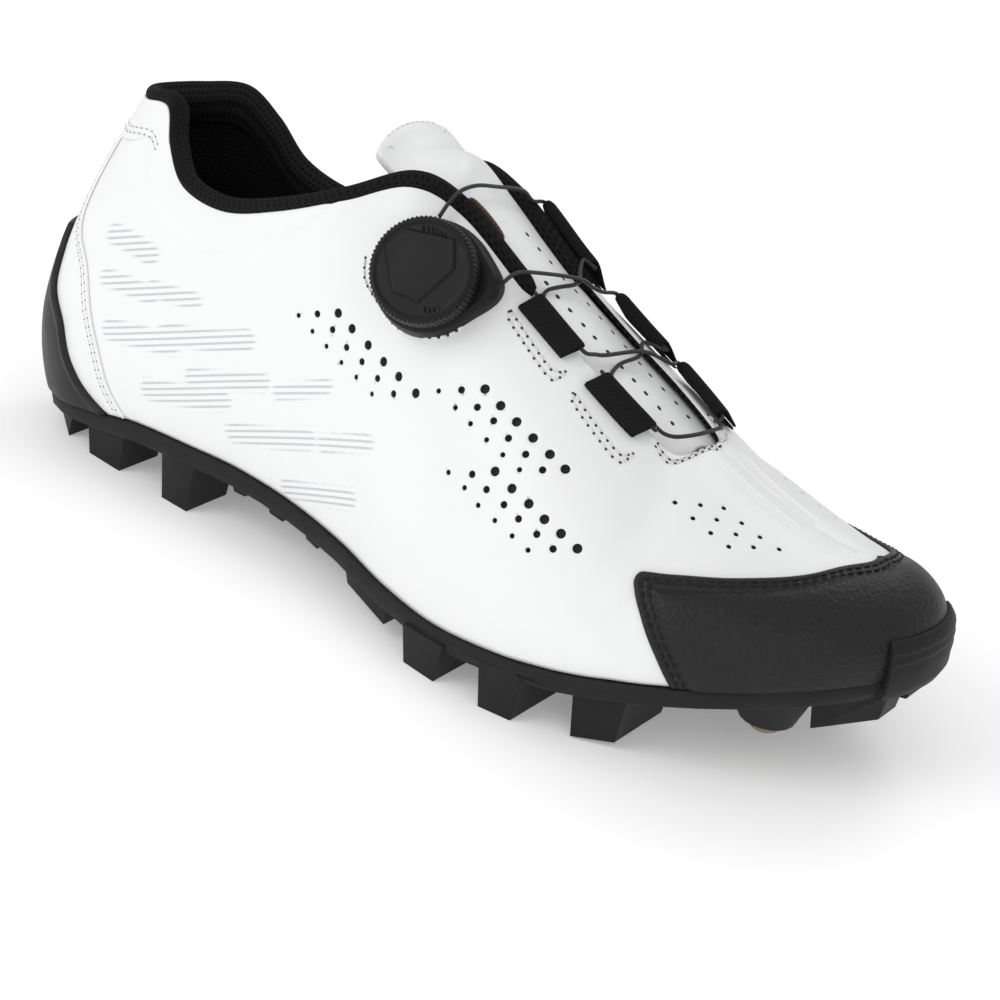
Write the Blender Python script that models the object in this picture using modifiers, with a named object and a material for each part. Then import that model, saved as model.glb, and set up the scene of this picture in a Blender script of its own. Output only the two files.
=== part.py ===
"""Cycling shoe for the right foot, off-road type with a lugged sole, a dial closure and wire lace."""
import math

import bmesh
import bpy
from mathutils import Matrix, Vector
from mathutils.bvhtree import BVHTree

MM = 0.001

# Named sizes of the last, in metres
LENGTH = 286.0 * MM
HALF_BALL = 51.5 * MM
INSTEP_HEIGHT = 112.0 * MM

# Walls and clearances
WALL = 2.0 * MM
CLEARANCE = 0.3 * MM
SKIN = 1.0 * MM

# Sole
PLATE = 5.7 * MM
WELT = 1.2 * MM
LUG_TOP = 3.0 * MM
TOE_BUMPER = 2.0 * MM

# Small parts
INSOLE = 3.5 * MM
TONGUE = 3.0 * MM
WIRE = 0.55 * MM
KNOB_RADIUS = 13.8 * MM
BASE_RADIUS = 14.9 * MM
STUD = 4.6 * MM
STUD_BOSS = 7.2 * MM
STUD_HEIGHT = 3.3 * MM
DIAL_TOP = 4.6 * MM
KNOB_HEIGHT = 7.0 * MM
KNOB_EDGE = 1.2 * MM
PORT = 3.0 * MM
LOOP_OUT = 1.6 * MM
LOOP_BOW = 0.5 * MM
LOOP_UP = 3.9 * MM
LOOP_RADIUS = 0.6 * MM

# Cleat pocket and its two slots: a standard two-bolt cleat
POCKET_PLACE = 0.647  # share of the length
POCKET_LONG = 54.0 * MM
POCKET_WIDE = 34.0 * MM
POCKET_DEEP = 1.9 * MM
SLOT_LONG = 34.0 * MM
SLOT_WIDE = 4.0 * MM
SLOT_APART = 14.0 * MM

# The rows run from the heel centre by the lateral side to the toe centre, then back by the medial side
# Places are shares of the length, the half ball width and the instep height, swells are shares of the half ball width
COLUMNS = (
    "base_along", "base_across", "base_rise", "top_along", "top_across", "top_rise",
    "side_full", "low_swell", "high_swell", "shoulder_in", "shoulder_up",
)
LATERAL = (
    (0.003,  0.000, 0.112, 0.051,  0.000, 0.884, 0.30, 0.175, 0.252, 0.85, 0.62),
    (0.017, -0.311, 0.112, 0.077, -0.214, 0.904, 0.30, 0.175, 0.243, 0.85, 0.62),
    (0.059, -0.495, 0.125, 0.115, -0.301, 0.920, 0.32, 0.146, 0.136, 0.80, 0.66),
    (0.112, -0.573, 0.147, 0.136, -0.388, 0.838, 0.34, 0.107, 0.058, 0.70, 0.70),
    (0.168, -0.608, 0.170, 0.168, -0.466, 0.775, 0.34, 0.087, 0.039, 0.66, 0.70),
    (0.231, -0.621, 0.177, 0.224, -0.515, 0.768, 0.34, 0.087, 0.039, 0.66, 0.70),
    (0.294, -0.621, 0.177, 0.287, -0.544, 0.824, 0.34, 0.097, 0.039, 0.66, 0.70),
    (0.364, -0.650, 0.163, 0.350, -0.524, 0.900, 0.36, 0.097, 0.039, 0.60, 0.76),
    (0.434, -0.738, 0.146, 0.409, -0.417, 0.982, 0.40, 0.078, 0.039, 0.50, 0.84),
    (0.503, -0.874, 0.128, 0.458, -0.330, 0.951, 0.44, 0.058, 0.019, 0.48, 0.88),
    (0.573, -0.981, 0.123, 0.531, -0.311, 0.835, 0.46, 0.049, 0.019, 0.48, 0.88),
    (0.643, -1.029, 0.139, 0.600, -0.311, 0.732, 0.48, 0.049, 0.019, 0.48, 0.88),
    (0.692, -1.016, 0.155, 0.663, -0.272, 0.634, 0.49, 0.049, 0.019, 0.48, 0.90),
    (0.724, -0.986, 0.168, 0.698, -0.184, 0.571, 0.49, 0.054, 0.019, 0.49, 0.94),
    (0.748, -0.951, 0.180, 0.713,  0.068, 0.577, 0.50, 0.058, 0.019, 0.50, 0.98),
    (0.780, -0.899, 0.196, 0.729,  0.078, 0.559, 0.50, 0.058, 0.019, 0.50, 1.00),
    (0.822, -0.796, 0.219, 0.762,  0.078, 0.525, 0.52, 0.058, 0.019, 0.48, 1.00),
    (0.867, -0.631, 0.243, 0.801,  0.087, 0.491, 0.56, 0.058, 0.023, 0.44, 1.00),
    (0.907, -0.417, 0.264, 0.832,  0.097, 0.470, 0.62, 0.049, 0.016, 0.38, 1.00),
    (0.937, -0.155, 0.277, 0.851,  0.107, 0.462, 0.66, 0.039, 0.016, 0.34, 1.00),
    (0.946,  0.117, 0.281, 0.860,  0.126, 0.461, 0.68, 0.029, 0.016, 0.32, 1.00),
)
MEDIAL = (
    (0.017,  0.311, 0.112, 0.073,  0.243, 0.889, 0.30, 0.175, 0.233, 0.85, 0.62),
    (0.059,  0.485, 0.125, 0.112,  0.379, 0.897, 0.32, 0.146, 0.126, 0.80, 0.66),
    (0.112,  0.553, 0.147, 0.143,  0.466, 0.830, 0.34, 0.107, 0.058, 0.70, 0.70),
    (0.168,  0.579, 0.174, 0.175,  0.524, 0.741, 0.34, 0.087, 0.039, 0.66, 0.70),
    (0.231,  0.563, 0.192, 0.226,  0.544, 0.705, 0.34, 0.087, 0.039, 0.66, 0.70),
    (0.294,  0.524, 0.205, 0.276,  0.553, 0.719, 0.34, 0.097, 0.039, 0.66, 0.70),
    (0.364,  0.505, 0.205, 0.332,  0.524, 0.808, 0.36, 0.097, 0.039, 0.60, 0.74),
    (0.441,  0.553, 0.183, 0.392,  0.427, 0.911, 0.38, 0.087, 0.039, 0.50, 0.80),
    (0.517,  0.670, 0.156, 0.448,  0.359, 0.900, 0.38, 0.058, 0.019, 0.48, 0.82),
    (0.587,  0.796, 0.138, 0.514,  0.330, 0.802, 0.38, 0.058, 0.000, 0.48, 0.82),
    (0.657,  0.903, 0.141, 0.584,  0.330, 0.701, 0.38, 0.049, 0.000, 0.48, 0.82),
    (0.699,  0.938, 0.154, 0.647,  0.320, 0.621, 0.38, 0.049, 0.000, 0.48, 0.84),
    (0.731,  0.942, 0.168, 0.696,  0.252, 0.566, 0.37, 0.054, 0.000, 0.50, 0.88),
    (0.755,  0.928, 0.180, 0.713,  0.068, 0.577, 0.36, 0.058, 0.000, 0.54, 0.92),
    (0.783,  0.899, 0.196, 0.729,  0.078, 0.559, 0.36, 0.058, 0.000, 0.54, 0.92),
    (0.822,  0.816, 0.219, 0.762,  0.078, 0.525, 0.38, 0.058, 0.000, 0.52, 0.92),
    (0.867,  0.689, 0.243, 0.801,  0.087, 0.491, 0.42, 0.049, 0.000, 0.48, 0.94),
    (0.907,  0.534, 0.264, 0.832,  0.097, 0.470, 0.52, 0.049, 0.006, 0.42, 0.98),
    (0.935,  0.350, 0.277, 0.851,  0.107, 0.462, 0.62, 0.039, 0.012, 0.36, 1.00),
)
TOE = len(LATERAL) - 1
LOOP = 2 * TOE
THROAT = 14  # the station where the throat ends and the two sides meet on the ridge

# Across the sole's plate: how far out the row lies of the feather line, the share left towards the middle line, the drop
PLATE_COLUMNS = ("out", "inward", "drop")
PLATE_ROWS = (
    (0.0, 1.00, 0.0),
    (0.0, 0.50, 0.0),
    (WELT, 0.00, 0.0),
    (WELT + 0.6 * MM, 0.00, 0.40),
    (WELT, 0.00, 0.85),
    (-1.0 * MM, 0.00, 1.0),
    (0.0, 0.50, 1.0),
    (0.0, 1.00, 1.0),
)

# Lugs, in shares of the last's sizes: where the foot of each begins and ends along, its outer and inner edges, its lowest level
LUG_COLUMNS = ("name", "rear", "front", "outer_rear", "outer_front", "inner_rear", "inner_front", "low_rear", "low_front")
LUGS = (
    ("lateral_heel_rear", 0.0070, 0.0559, -0.214, -0.427, -0.058, -0.155, 0.0268, 0.0000),
    ("lateral_heel_mid", 0.0944, 0.1399, -0.495, -0.534, -0.194, -0.214, 0.0000, 0.0000),
    ("lateral_heel_front", 0.2028, 0.2378, -0.586, -0.610, -0.272, -0.272, 0.0000, 0.0000),
    ("lateral_arch_rear", 0.2867, 0.3007, -0.583, -0.583, -0.466, -0.466, 0.1027, 0.1027),
    ("lateral_arch_mid", 0.3322, 0.3497, -0.592, -0.602, -0.485, -0.485, 0.0938, 0.0893),
    ("lateral_arch_front", 0.3811, 0.3986, -0.621, -0.650, -0.505, -0.524, 0.0804, 0.0759),
    ("lateral_step", 0.4476, 0.5105, -0.738, -0.883, -0.466, -0.524, 0.0536, 0.0357),
    ("lateral_ball_rear", 0.5490, 0.5874, -0.990, -1.033, -0.505, -0.505, 0.0000, 0.0000),
    ("lateral_ball_mid", 0.6381, 0.6713, -1.052, -1.041, -0.505, -0.505, 0.0000, 0.0000),
    ("lateral_ball_front", 0.7220, 0.7587, -0.942, -0.870, -0.466, -0.427, 0.0036, 0.0179),
    ("lateral_toe", 0.8951, 0.9371, -0.398, -0.165, -0.039, 0.019, 0.1339, 0.1652),
    ("medial_heel_rear", 0.0070, 0.0559, 0.214, 0.417, 0.058, 0.155, 0.0268, 0.0000),
    ("medial_heel_mid", 0.0944, 0.1399, 0.485, 0.515, 0.194, 0.214, 0.0000, 0.0000),
    ("medial_heel_front", 0.2028, 0.2378, 0.553, 0.553, 0.252, 0.252, 0.0000, 0.0000),
    ("medial_arch_rear", 0.2937, 0.3112, 0.495, 0.495, 0.388, 0.388, 0.1250, 0.1250),
    ("medial_arch_front", 0.3776, 0.3951, 0.485, 0.495, 0.369, 0.388, 0.1161, 0.1116),
    ("medial_step", 0.4545, 0.5175, 0.553, 0.650, 0.350, 0.388, 0.0625, 0.0446),
    ("medial_ball_rear", 0.5594, 0.5979, 0.748, 0.816, 0.408, 0.427, 0.0000, 0.0000),
    ("medial_ball_mid", 0.6469, 0.6818, 0.893, 0.932, 0.427, 0.427, 0.0000, 0.0000),
    ("medial_ball_front", 0.7273, 0.7657, 0.932, 0.903, 0.427, 0.408, 0.0036, 0.0179),
    ("medial_toe", 0.8951, 0.9371, 0.544, 0.330, 0.175, 0.136, 0.1339, 0.1652),
)

# Studs under the toe, in shares of the last's sizes: place and the level of the boss's foot
STUDS = (
    ("toe_stud_lateral", 0.8531, -0.388, 0.1143),
    ("toe_stud_medial", 0.8531, 0.485, 0.1143),
)

# Overlays: how far each reaches from its middle station, by share of its height
CAP_TOP = ((0.0, 0.89), (1.0, 0.85), (2.1, 0.73), (2.8, 0.62), (3.8, 0.50), (4.6, 0.43), (6.2, 0.37))
CAP_TOP_MEDIAL = ((0.0, 0.90), (1.0, 0.80), (2.1, 0.62), (2.8, 0.53), (3.8, 0.43), (4.6, 0.39), (6.2, 0.36))
CAP_REACH = ((0.0, 4.6), (0.45, 5.15), (0.7, 5.65), (1.0, 6.0))
COUNTER_TOP = 0.56
COUNTER_REACH = ((0.0, 3.3), (0.11, 2.75), (0.25, 2.3), (0.46, 1.85), (0.64, 1.3), (0.9, 1.02), (1.0, 0.8))
STAY_TOP = 0.87
STAY_REACH = ((0.0, 3.7), (0.12, 3.27), (0.25, 2.93), (0.37, 2.53), (0.5, 2.07), (0.64, 1.35), (0.75, 1.0), (0.85, 0.8), (1.0, 0.75))

# Tongue above the throat, in shares of the last's sizes: place of the middle, half width, how far the edges fall
TONGUE_TOP_COLUMNS = ("along", "across", "rise", "half_width", "fall")
TONGUE_TOP = (
    (0.3444, 0.0194, 1.0411, 0.2427, 0.0214),
    (0.3497, 0.0194, 1.0375, 0.3010, 0.0304),
    (0.3741, 0.0194, 1.0054, 0.3107, 0.0393),
)
LOOP_FIRST = 9.0
LOOP_LAST = 9.6
TONGUE_STATIONS = (8.6, 9.1, 9.7, 10.3, 10.9, 11.5, 12.1, 12.7, 13.3)

# Lace guides: side, first and last station, and where on the side each begins
GUIDE_COLUMNS = ("name", "medial", "first", "last", "foot", "height", "gap")
GUIDES = (
    ("lace_guide_lateral_rear", False, 10.2, 10.95, 0.87, 1.4, 0.7),
    ("lace_guide_lateral_front", False, 11.35, 12.25, 0.87, 1.4, 0.7),
    ("lace_guide_medial_rear", True, 9.2, 10.12, 0.84, 3.0, 0.8),
    ("lace_guide_medial_mid", True, 10.6, 11.4, 0.84, 3.0, 0.8),
    ("lace_guide_medial_front", True, 11.75, 12.75, 0.84, 2.6, 0.8),
)

# Wire lace: each point's shares of the length, the half ball width and the instep height
WIRE_COLUMNS = ("along", "across", "rise")
PORT_ANGLE = 3.05
# Where the wire leaves the dial's base: the angle round it, how far out, how high
EXIT_TOP = (1.375, 0.6 * MM, 1.6 * MM)
EXIT_SIDE = (2.935, 3.7 * MM, 1.5 * MM)
WIRE_TOP = (
    (0.4510, -0.3592, 0.9875),
    (0.4545, -0.2330, 1.0000),
    (0.4580, -0.0583, 0.9857),
    (0.4598,  0.1748, 0.9580),
    (0.4584,  0.3029, 0.9196),
)
WIRE_DIAL = (
    (0.5290, -0.3883, 0.8714),
    (0.5360, -0.2524, 0.8643),
    (0.5476,  0.0388, 0.8250),
    (0.5524,  0.1553, 0.8018),
    (0.5552,  0.2427, 0.7839),
)
WIRE_UPPER = (
    (0.5213,  0.3204, 0.8268),
    (0.5315,  0.1942, 0.8268),
    (0.5476,  0.0388, 0.8250),
    (0.5427, -0.0971, 0.8196),
    (0.5402, -0.1748, 0.8179),
    (0.5413, -0.2330, 0.8071),
)
WIRE_MID = (
    (0.6063, -0.2369, 0.7304),
    (0.6091, -0.1553, 0.7223),
    (0.6196,  0.0777, 0.7089),
    (0.6283,  0.1942, 0.6946),
    (0.6357,  0.2641, 0.6768),
)
WIRE_LOWER = (
    (0.6024,  0.2738, 0.6991),
    (0.6196,  0.0777, 0.7089),
    (0.6171, -0.0777, 0.7000),
    (0.6196, -0.1748, 0.6911),
    (0.6248, -0.2330, 0.6830),
)
WIRE_TOE = (
    (0.6741, -0.2000, 0.6165),
    (0.6811, -0.1748, 0.6027),
    (0.6888, -0.1165, 0.5946),
    (0.6965,  0.0194, 0.5911),
    (0.7007,  0.1748, 0.5893),
    (0.7000,  0.2252, 0.5875),
    (0.6930,  0.2544, 0.5911),
)


def clear():
    for obj in list(bpy.data.objects):
        bpy.data.objects.remove(obj)


def table(rows, x):
    """Value at x by straight steps through (place, value) rows."""
    for (x0, y0), (x1, y1) in zip(rows, rows[1:]):
        if x <= x1:
            return y0 + (y1 - y0) * max(0.0, (x - x0) / (x1 - x0))
    return rows[-1][1]


def row_at(j):
    j %= LOOP
    return LATERAL[j] if j <= TOE else MEDIAL[LOOP - j - 1]


def station(s):
    """The row at loop place s, on a smooth curve through the stations. The two sides share the ridge's points."""
    s %= LOOP
    i = math.floor(s)
    t = s - i
    ridge = THROAT <= s <= LOOP - THROAT
    rows = [row_at(i + k) for k in (-1, 0, 1, 2)]
    tops = [row_at(min(max(i + k, THROAT), LOOP - THROAT)) if ridge else row_at(i + k) for k in (-1, 0, 1, 2)]
    weights = (
        0.5 * (-t + 2 * t * t - t ** 3),
        0.5 * (2 - 5 * t * t + 3 * t ** 3),
        0.5 * (t + 4 * t * t - 3 * t ** 3),
        0.5 * (-t * t + t ** 3),
    )
    values = {}
    for c, column in enumerate(COLUMNS):
        source = tops if column.startswith("top_") else rows
        values[column] = sum(w * row[c] for w, row in zip(weights, source))
    return values


def feather(s):
    """Where the upper meets the sole."""
    q = station(s)
    return Vector((q["base_along"] * LENGTH, q["base_across"] * HALF_BALL, q["base_rise"] * INSTEP_HEIGHT))


def outward(s):
    d = feather(s + 0.02) - feather(s - 0.02)
    return Vector((d.y, -d.x, 0)).normalized()


def surface(s, v):
    """Outside of the upper: s runs round the shoe, v from the feather line to the collar, throat or ridge."""
    q = station(s)
    base = feather(s)
    rise = q["top_rise"] * INSTEP_HEIGHT - base.z
    low = 3 * (1 - v) ** 2 * v
    high = 3 * (1 - v) * v * v
    inward = high * q["shoulder_in"] + v ** 3
    swell = (q["low_swell"] * low + q["high_swell"] * high) * HALF_BALL
    point = base + outward(s) * swell
    point.x += (q["top_along"] * LENGTH - base.x) * inward
    point.y += (q["top_across"] * HALF_BALL - base.y) * inward
    point.z += rise * (low * q["side_full"] + high * q["shoulder_up"] + v ** 3)
    return point


def normal(s, v):
    e = 0.01
    along = surface(s + e, v) - surface(s - e, v)
    up = surface(s, min(1.0, v + e)) - surface(s, max(0.0, v - e))
    return along.cross(up).normalized()


def skin(s, v, offset):
    return surface(s, v) + normal(s, v) * offset


def edge(s, out, up):
    """A point near the top edge: out along the normal, up along the side beyond the edge."""
    rise = (surface(s, 1.0) - surface(s, 0.97)).normalized()
    return surface(s, 1.0) + normal(s, 0.995) * out + rise * up


def on_last(along, across, rise):
    """A point from its shares of the length, the half ball width and the instep height."""
    return Vector((along * LENGTH, across * HALF_BALL, rise * INSTEP_HEIGHT))


def place_on_sole(s, out, inward, level):
    """A point of the sole at loop place s: out of the feather line or inward towards the middle line."""
    a = min(s, LOOP - s)
    b = min(max(a, 1.3), TOE - 1.3)
    middle = (feather(b) + feather(LOOP - b)) / 2
    point = feather(s) + outward(s) * out
    point = point.lerp(middle, inward)
    point.z += level
    return point


def material(name, colour, roughness, metallic=0.0):
    made = bpy.data.materials.new(name)
    made.use_nodes = True
    made.diffuse_color = (*colour, 1)
    shader = made.node_tree.nodes["Principled BSDF"]
    shader.inputs["Base Color"].default_value = (*colour, 1)
    shader.inputs["Roughness"].default_value = roughness
    shader.inputs["Metallic"].default_value = metallic
    return made


def finish_mesh(name, bm, surface_material, where, merge=1e-6):
    bmesh.ops.remove_doubles(bm, verts=bm.verts, dist=merge)
    bmesh.ops.recalc_face_normals(bm, faces=bm.faces)
    if bm.calc_volume(signed=True) < 0:
        bmesh.ops.reverse_faces(bm, faces=bm.faces)
    mesh = bpy.data.meshes.new(name)
    bm.to_mesh(mesh)
    bm.free()
    for polygon in mesh.polygons:
        polygon.use_smooth = True
    obj = bpy.data.objects.new(name, mesh)
    mesh.materials.append(surface_material)
    where.objects.link(obj)
    return obj


def grid_faces(bm, rows, closed=False):
    """Faces between rows of points, each row as long as the next."""
    made = [[bm.verts.new(p) for p in row] for row in rows]
    for a, b in zip(made, made[1:]):
        count = len(a)
        for i in range(count if closed else count - 1):
            j = (i + 1) % count
            bm.faces.new((a[i], a[j], b[j], b[i]))
    return made


def slab(name, rows_out, rows_in, surface_material, where):
    """One solid between two grids of points with the same counts."""
    bm = bmesh.new()
    outer = grid_faces(bm, rows_out)
    inner = grid_faces(bm, rows_in)
    borders = (
        (outer[0], inner[0]),
        (outer[-1], inner[-1]),
        ([r[0] for r in outer], [r[0] for r in inner]),
        ([r[-1] for r in outer], [r[-1] for r in inner]),
    )
    for a, b in borders:
        for i in range(len(a) - 1):
            bm.faces.new((a[i], a[i + 1], b[i + 1], b[i]))
    return finish_mesh(name, bm, surface_material, where, 1e-7)


def tube(name, rings, surface_material, where):
    """One solid through closed rings. Each end is a ladder of faces between the ring's first and second half."""
    bm = bmesh.new()
    made = grid_faces(bm, rings, closed=True)
    for ring in (made[0], made[-1]):
        last = len(ring) - 1
        for i in range(len(ring) // 2 - 1):
            bm.faces.new((ring[i], ring[i + 1], ring[last - i - 1], ring[last - i]))
    return finish_mesh(name, bm, surface_material, where, 1e-7)


def fine(points, steps):
    """More points on a smooth curve through these."""
    made = []
    last = len(points) - 1
    for i in range(last):
        p = [Vector(points[min(max(i + k, 0), last)]) for k in (-1, 0, 1, 2)]
        for j in range(steps):
            t = j / steps
            made.append(
                0.5 * (2 * p[1] + (p[2] - p[0]) * t + (2 * p[0] - 5 * p[1] + 4 * p[2] - p[3]) * t * t
                + (3 * p[1] - p[0] - 3 * p[2] + p[3]) * t ** 3)
            )
    made.append(Vector(points[last]))
    return made


def rod_rings(path, radius, sides=6):
    rings = []
    for i, point in enumerate(path):
        ahead = (path[min(i + 1, len(path) - 1)] - path[max(i - 1, 0)]).normalized()
        side = ahead.cross(Vector((0, 0, 1))).normalized()
        other = side.cross(ahead)
        rings.append([
            point + (side * math.cos(2 * math.pi * k / sides) + other * math.sin(2 * math.pi * k / sides)) * radius
            for k in range(sides)
        ])
    return rings


def boolean(obj, other, operation):
    modifier = obj.modifiers.new(operation.title(), "BOOLEAN")
    modifier.operation = operation
    modifier.solver = "EXACT"
    modifier.object = other


def make_upper(where, leather):
    """The grid of the outside, zipped along the ridge, with its wall to the inside."""
    levels = (0.0, 0.08, 0.19, 0.33, 0.48, 0.63, 0.77, 0.9, 1.0)
    count = 5 * LOOP // 2
    bm = bmesh.new()
    rows = [[bm.verts.new(surface(2 * k / 5, v)) for v in levels] for k in range(count)]
    for k in range(count):
        a = rows[k]
        b = rows[(k + 1) % count]
        for i in range(len(levels) - 1):
            bm.faces.new((a[i], b[i], b[i + 1], a[i + 1]))
    ridge = [row[-1] for k, row in enumerate(rows) if THROAT <= 2 * k / 5 <= LOOP - THROAT]
    bmesh.ops.remove_doubles(bm, verts=ridge, dist=1e-5)
    mesh = bpy.data.meshes.new("upper")
    bm.to_mesh(mesh)
    bm.free()
    for polygon in mesh.polygons:
        polygon.use_smooth = True
    obj = bpy.data.objects.new("upper", mesh)
    mesh.materials.append(leather)
    where.objects.link(obj)
    wall = obj.modifiers.new("Wall", "SOLIDIFY")
    wall.thickness = WALL
    wall.offset = -1
    return obj


def overlay(name, middle, reach, top, inner, outer, across, upwards, surface_material, where):
    """A patch of the upper's own form between two offsets of it."""
    def points(offset):
        rows = []
        for i in range(across + 1):
            u = 2 * i / across - 1
            row = []
            for j in range(upwards + 1):
                w = j / upwards
                s = middle + u * table(reach, w)
                low = 0.012
                v = low + w * (top(s - middle) - low)
                row.append(skin(s, v, offset))
            rows.append(row)
        return rows
    return slab(name, points(outer), points(inner), surface_material, where)


def make_plate(where, rubber):
    bm = bmesh.new()
    count = 2 * LOOP
    rows = []
    for k in range(count + 1):
        s = k / 2 % LOOP
        row = []
        for out, inward, drop in PLATE_ROWS:
            row.append(place_on_sole(s, out, inward, -CLEARANCE - drop * PLATE))
        rows.append(row)
    grid_faces(bm, rows)
    return finish_mesh("outsole", bm, rubber, where, 2e-6)


def make_insole(where, foam):
    rows_across = (
        (0.0, 1.0, 0.0), (0.0, 0.5, 0.0), (-(WALL + 1.2 * MM), 0.0, 0.0),
        (-(WALL + 1.0 * MM), 0.0, 0.5), (-(WALL + 1.6 * MM), 0.0, 1.0), (0.0, 0.5, 1.0), (0.0, 1.0, 1.0),
    )
    bm = bmesh.new()
    rows = []
    for k in range(LOOP + 1):
        s = k % LOOP
        rows.append([
            place_on_sole(s, out, inward, 0.35 * MM + drop * INSOLE) for out, inward, drop in rows_across
        ])
    grid_faces(bm, rows)
    return finish_mesh("insole", bm, foam, where, 2e-6)


def lugs_mesh(where, rubber):
    """All lugs as separate closed blocks in one helper, to be joined with the plate."""
    bm = bmesh.new()
    for row in LUGS:
        lug = dict(zip(LUG_COLUMNS, row))
        lean = 1.6 * MM
        corners = []
        for end in ("rear", "front"):
            x = lug[end] * LENGTH
            sign = -1 if end == "rear" else 1
            for side in ("outer_" + end, "inner_" + end):
                y = lug[side] * HALF_BALL
                spread = 1 if (y > 0) == side.startswith("outer") else -1
                low = lug["low_" + end] * INSTEP_HEIGHT
                top = plate_level(x, y > 0) - LUG_TOP
                corners.append((Vector((x, y, low)), Vector((x + sign * lean, y + spread * lean * 0.5, top))))
        order = (0, 1, 3, 2)
        bottom = [bm.verts.new(corners[i][0]) for i in order]
        upper = [bm.verts.new(corners[i][1]) for i in order]
        bm.faces.new(bottom)
        bm.faces.new(upper[::-1])
        for i in range(4):
            j = (i + 1) % 4
            bm.faces.new((bottom[i], bottom[j], upper[j], upper[i]))
    return finish_mesh("lugs", bm, rubber, where, 1e-7)


def plate_level(x, medial):
    """Height of the feather line on this side at this place along the shoe."""
    places = [LOOP - i / 4 if medial else i / 4 for i in range(4 * TOE + 1)]
    return feather(min(places, key=lambda s: abs(feather(s).x - x))).z


def box(name, low, high, where, surface_material):
    bm = bmesh.new()
    bmesh.ops.create_cube(bm, size=1)
    low, high = Vector(low), Vector(high)
    for vert in bm.verts:
        vert.co = Vector([low[i] + (vert.co[i] + 0.5) * (high[i] - low[i]) for i in range(3)])
    return finish_mesh(name, bm, surface_material, where, 1e-7)


def cylinder(name, centre, axis, radius, height, sides, where, surface_material, bevel=0.0, top_radius=None):
    """A round piece that starts at centre and runs along axis."""
    bm = bmesh.new()
    bmesh.ops.create_cone(bm, cap_ends=True, segments=sides, radius1=radius, radius2=top_radius or radius, depth=height)
    bmesh.ops.translate(bm, verts=bm.verts, vec=(0, 0, height / 2))
    turn = Vector((0, 0, 1)).rotation_difference(Vector(axis).normalized()).to_matrix().to_4x4()
    bmesh.ops.transform(bm, matrix=turn, verts=bm.verts)
    bmesh.ops.translate(bm, verts=bm.verts, vec=centre)
    obj = finish_mesh(name, bm, surface_material, where, 1e-7)
    if bevel:
        modifier = obj.modifiers.new("Bevel", "BEVEL")
        modifier.width = bevel
        modifier.segments = 2
        modifier.limit_method = "ANGLE"
    return obj


def toe_bumper(where, rubber):
    """The outsole's rubber carried up over the toe, with three ribs across it."""
    levels = ((-5.0, 0.0), (-2.0, 0.0), (0.4, 0.02), (None, 0.07), (None, 0.11), (None, 0.13), (None, 0.17), (None, 0.19), (None, 0.24), (None, 0.27))
    ribs = (0.6, 1.0, 1.0, 1.0, 0.75, 1.0, 0.7, 1.0, 0.65, 0.35)
    outer = []
    inner = []
    for i in range(13):
        s = TOE - 1.25 + 2.5 * i / 12
        row_out = []
        row_in = []
        for (drop, v), rib in zip(levels, ribs):
            if drop is not None and drop < 0:
                base = feather(s)
                base.z += drop * MM
                row_out.append(base + outward(s) * 4.2 * MM * (0.7 if drop < -3 else 1))
                row_in.append(base - outward(s) * 1.0 * MM)
            else:
                row_out.append(skin(s, v, 2.0 * MM + TOE_BUMPER * rib))
                row_in.append(skin(s, v, 1.8 * MM))
        outer.append(row_out)
        inner.append(row_in)
    return slab("bumper", outer, inner, rubber, where)


def make_outsole(where, helpers, rubber):
    plate = make_plate(where, rubber)
    boolean(plate, lugs_mesh(helpers, rubber), "UNION")
    for name, along, across, rise in STUDS:
        foot = on_last(along, across, rise)
        top = plate_level(foot.x, foot.y > 0) - LUG_TOP
        boss = cylinder(name + "_boss", foot, (0, 0, 1), STUD_BOSS, top - foot.z, 20, helpers, rubber, 0.0, 1.6 * STUD_BOSS)
        boolean(plate, boss, "UNION")
    boolean(plate, toe_bumper(helpers, rubber), "UNION")
    middle = Vector((POCKET_PLACE * LENGTH, 1.0 * MM, 0))
    ceiling = plate_level(middle.x, False) - CLEARANCE - PLATE + POCKET_DEEP
    half = Vector((POCKET_LONG / 2, POCKET_WIDE / 2, 0))
    down = Vector((0, 0, INSTEP_HEIGHT))
    boolean(plate, box("cleat_pocket", middle - half - down, middle + half + Vector((0, 0, ceiling)), helpers, rubber), "DIFFERENCE")
    for name, side in (("slot_lateral", -1), ("slot_medial", 1)):
        centre = middle + Vector((0, side * SLOT_APART / 2, 0))
        half = Vector((SLOT_LONG / 2, SLOT_WIDE / 2, 0))
        boolean(plate, box(name, centre - half - down, centre + half + down, helpers, rubber), "DIFFERENCE")
    return plate


def make_studs(where, brass):
    """The metal studs under the toe: a low dome on a round foot, just clear of the boss."""
    for name, along, across, rise in STUDS:
        foot = on_last(along, across, rise)
        rings = []
        for radius, drop in ((1.0, 0.0), (1.0, 0.25), (0.92, 0.58), (0.72, 0.82), (0.42, 1.0)):
            ring = []
            for k in range(20):
                angle = 2 * math.pi * k / 20
                out = Vector((math.cos(angle), math.sin(angle), 0)) * radius * STUD
                ring.append(foot + out - Vector((0, 0, CLEARANCE + drop * STUD_HEIGHT)))
            rings.append(ring)
        tube(name, rings, brass, where)


def make_loop(where, webbing):
    """The small pull loop along the lateral edge of the throat."""
    stops = [(LOOP_FIRST + (LOOP_LAST - LOOP_FIRST) * k / 6, math.sin(math.pi * k / 6)) for k in range(7)]
    path = [edge(s, LOOP_OUT + LOOP_BOW * bow, LOOP_UP) for s, bow in stops]
    tube("throat_loop", rod_rings(path, LOOP_RADIUS, 6), webbing, where)


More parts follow.
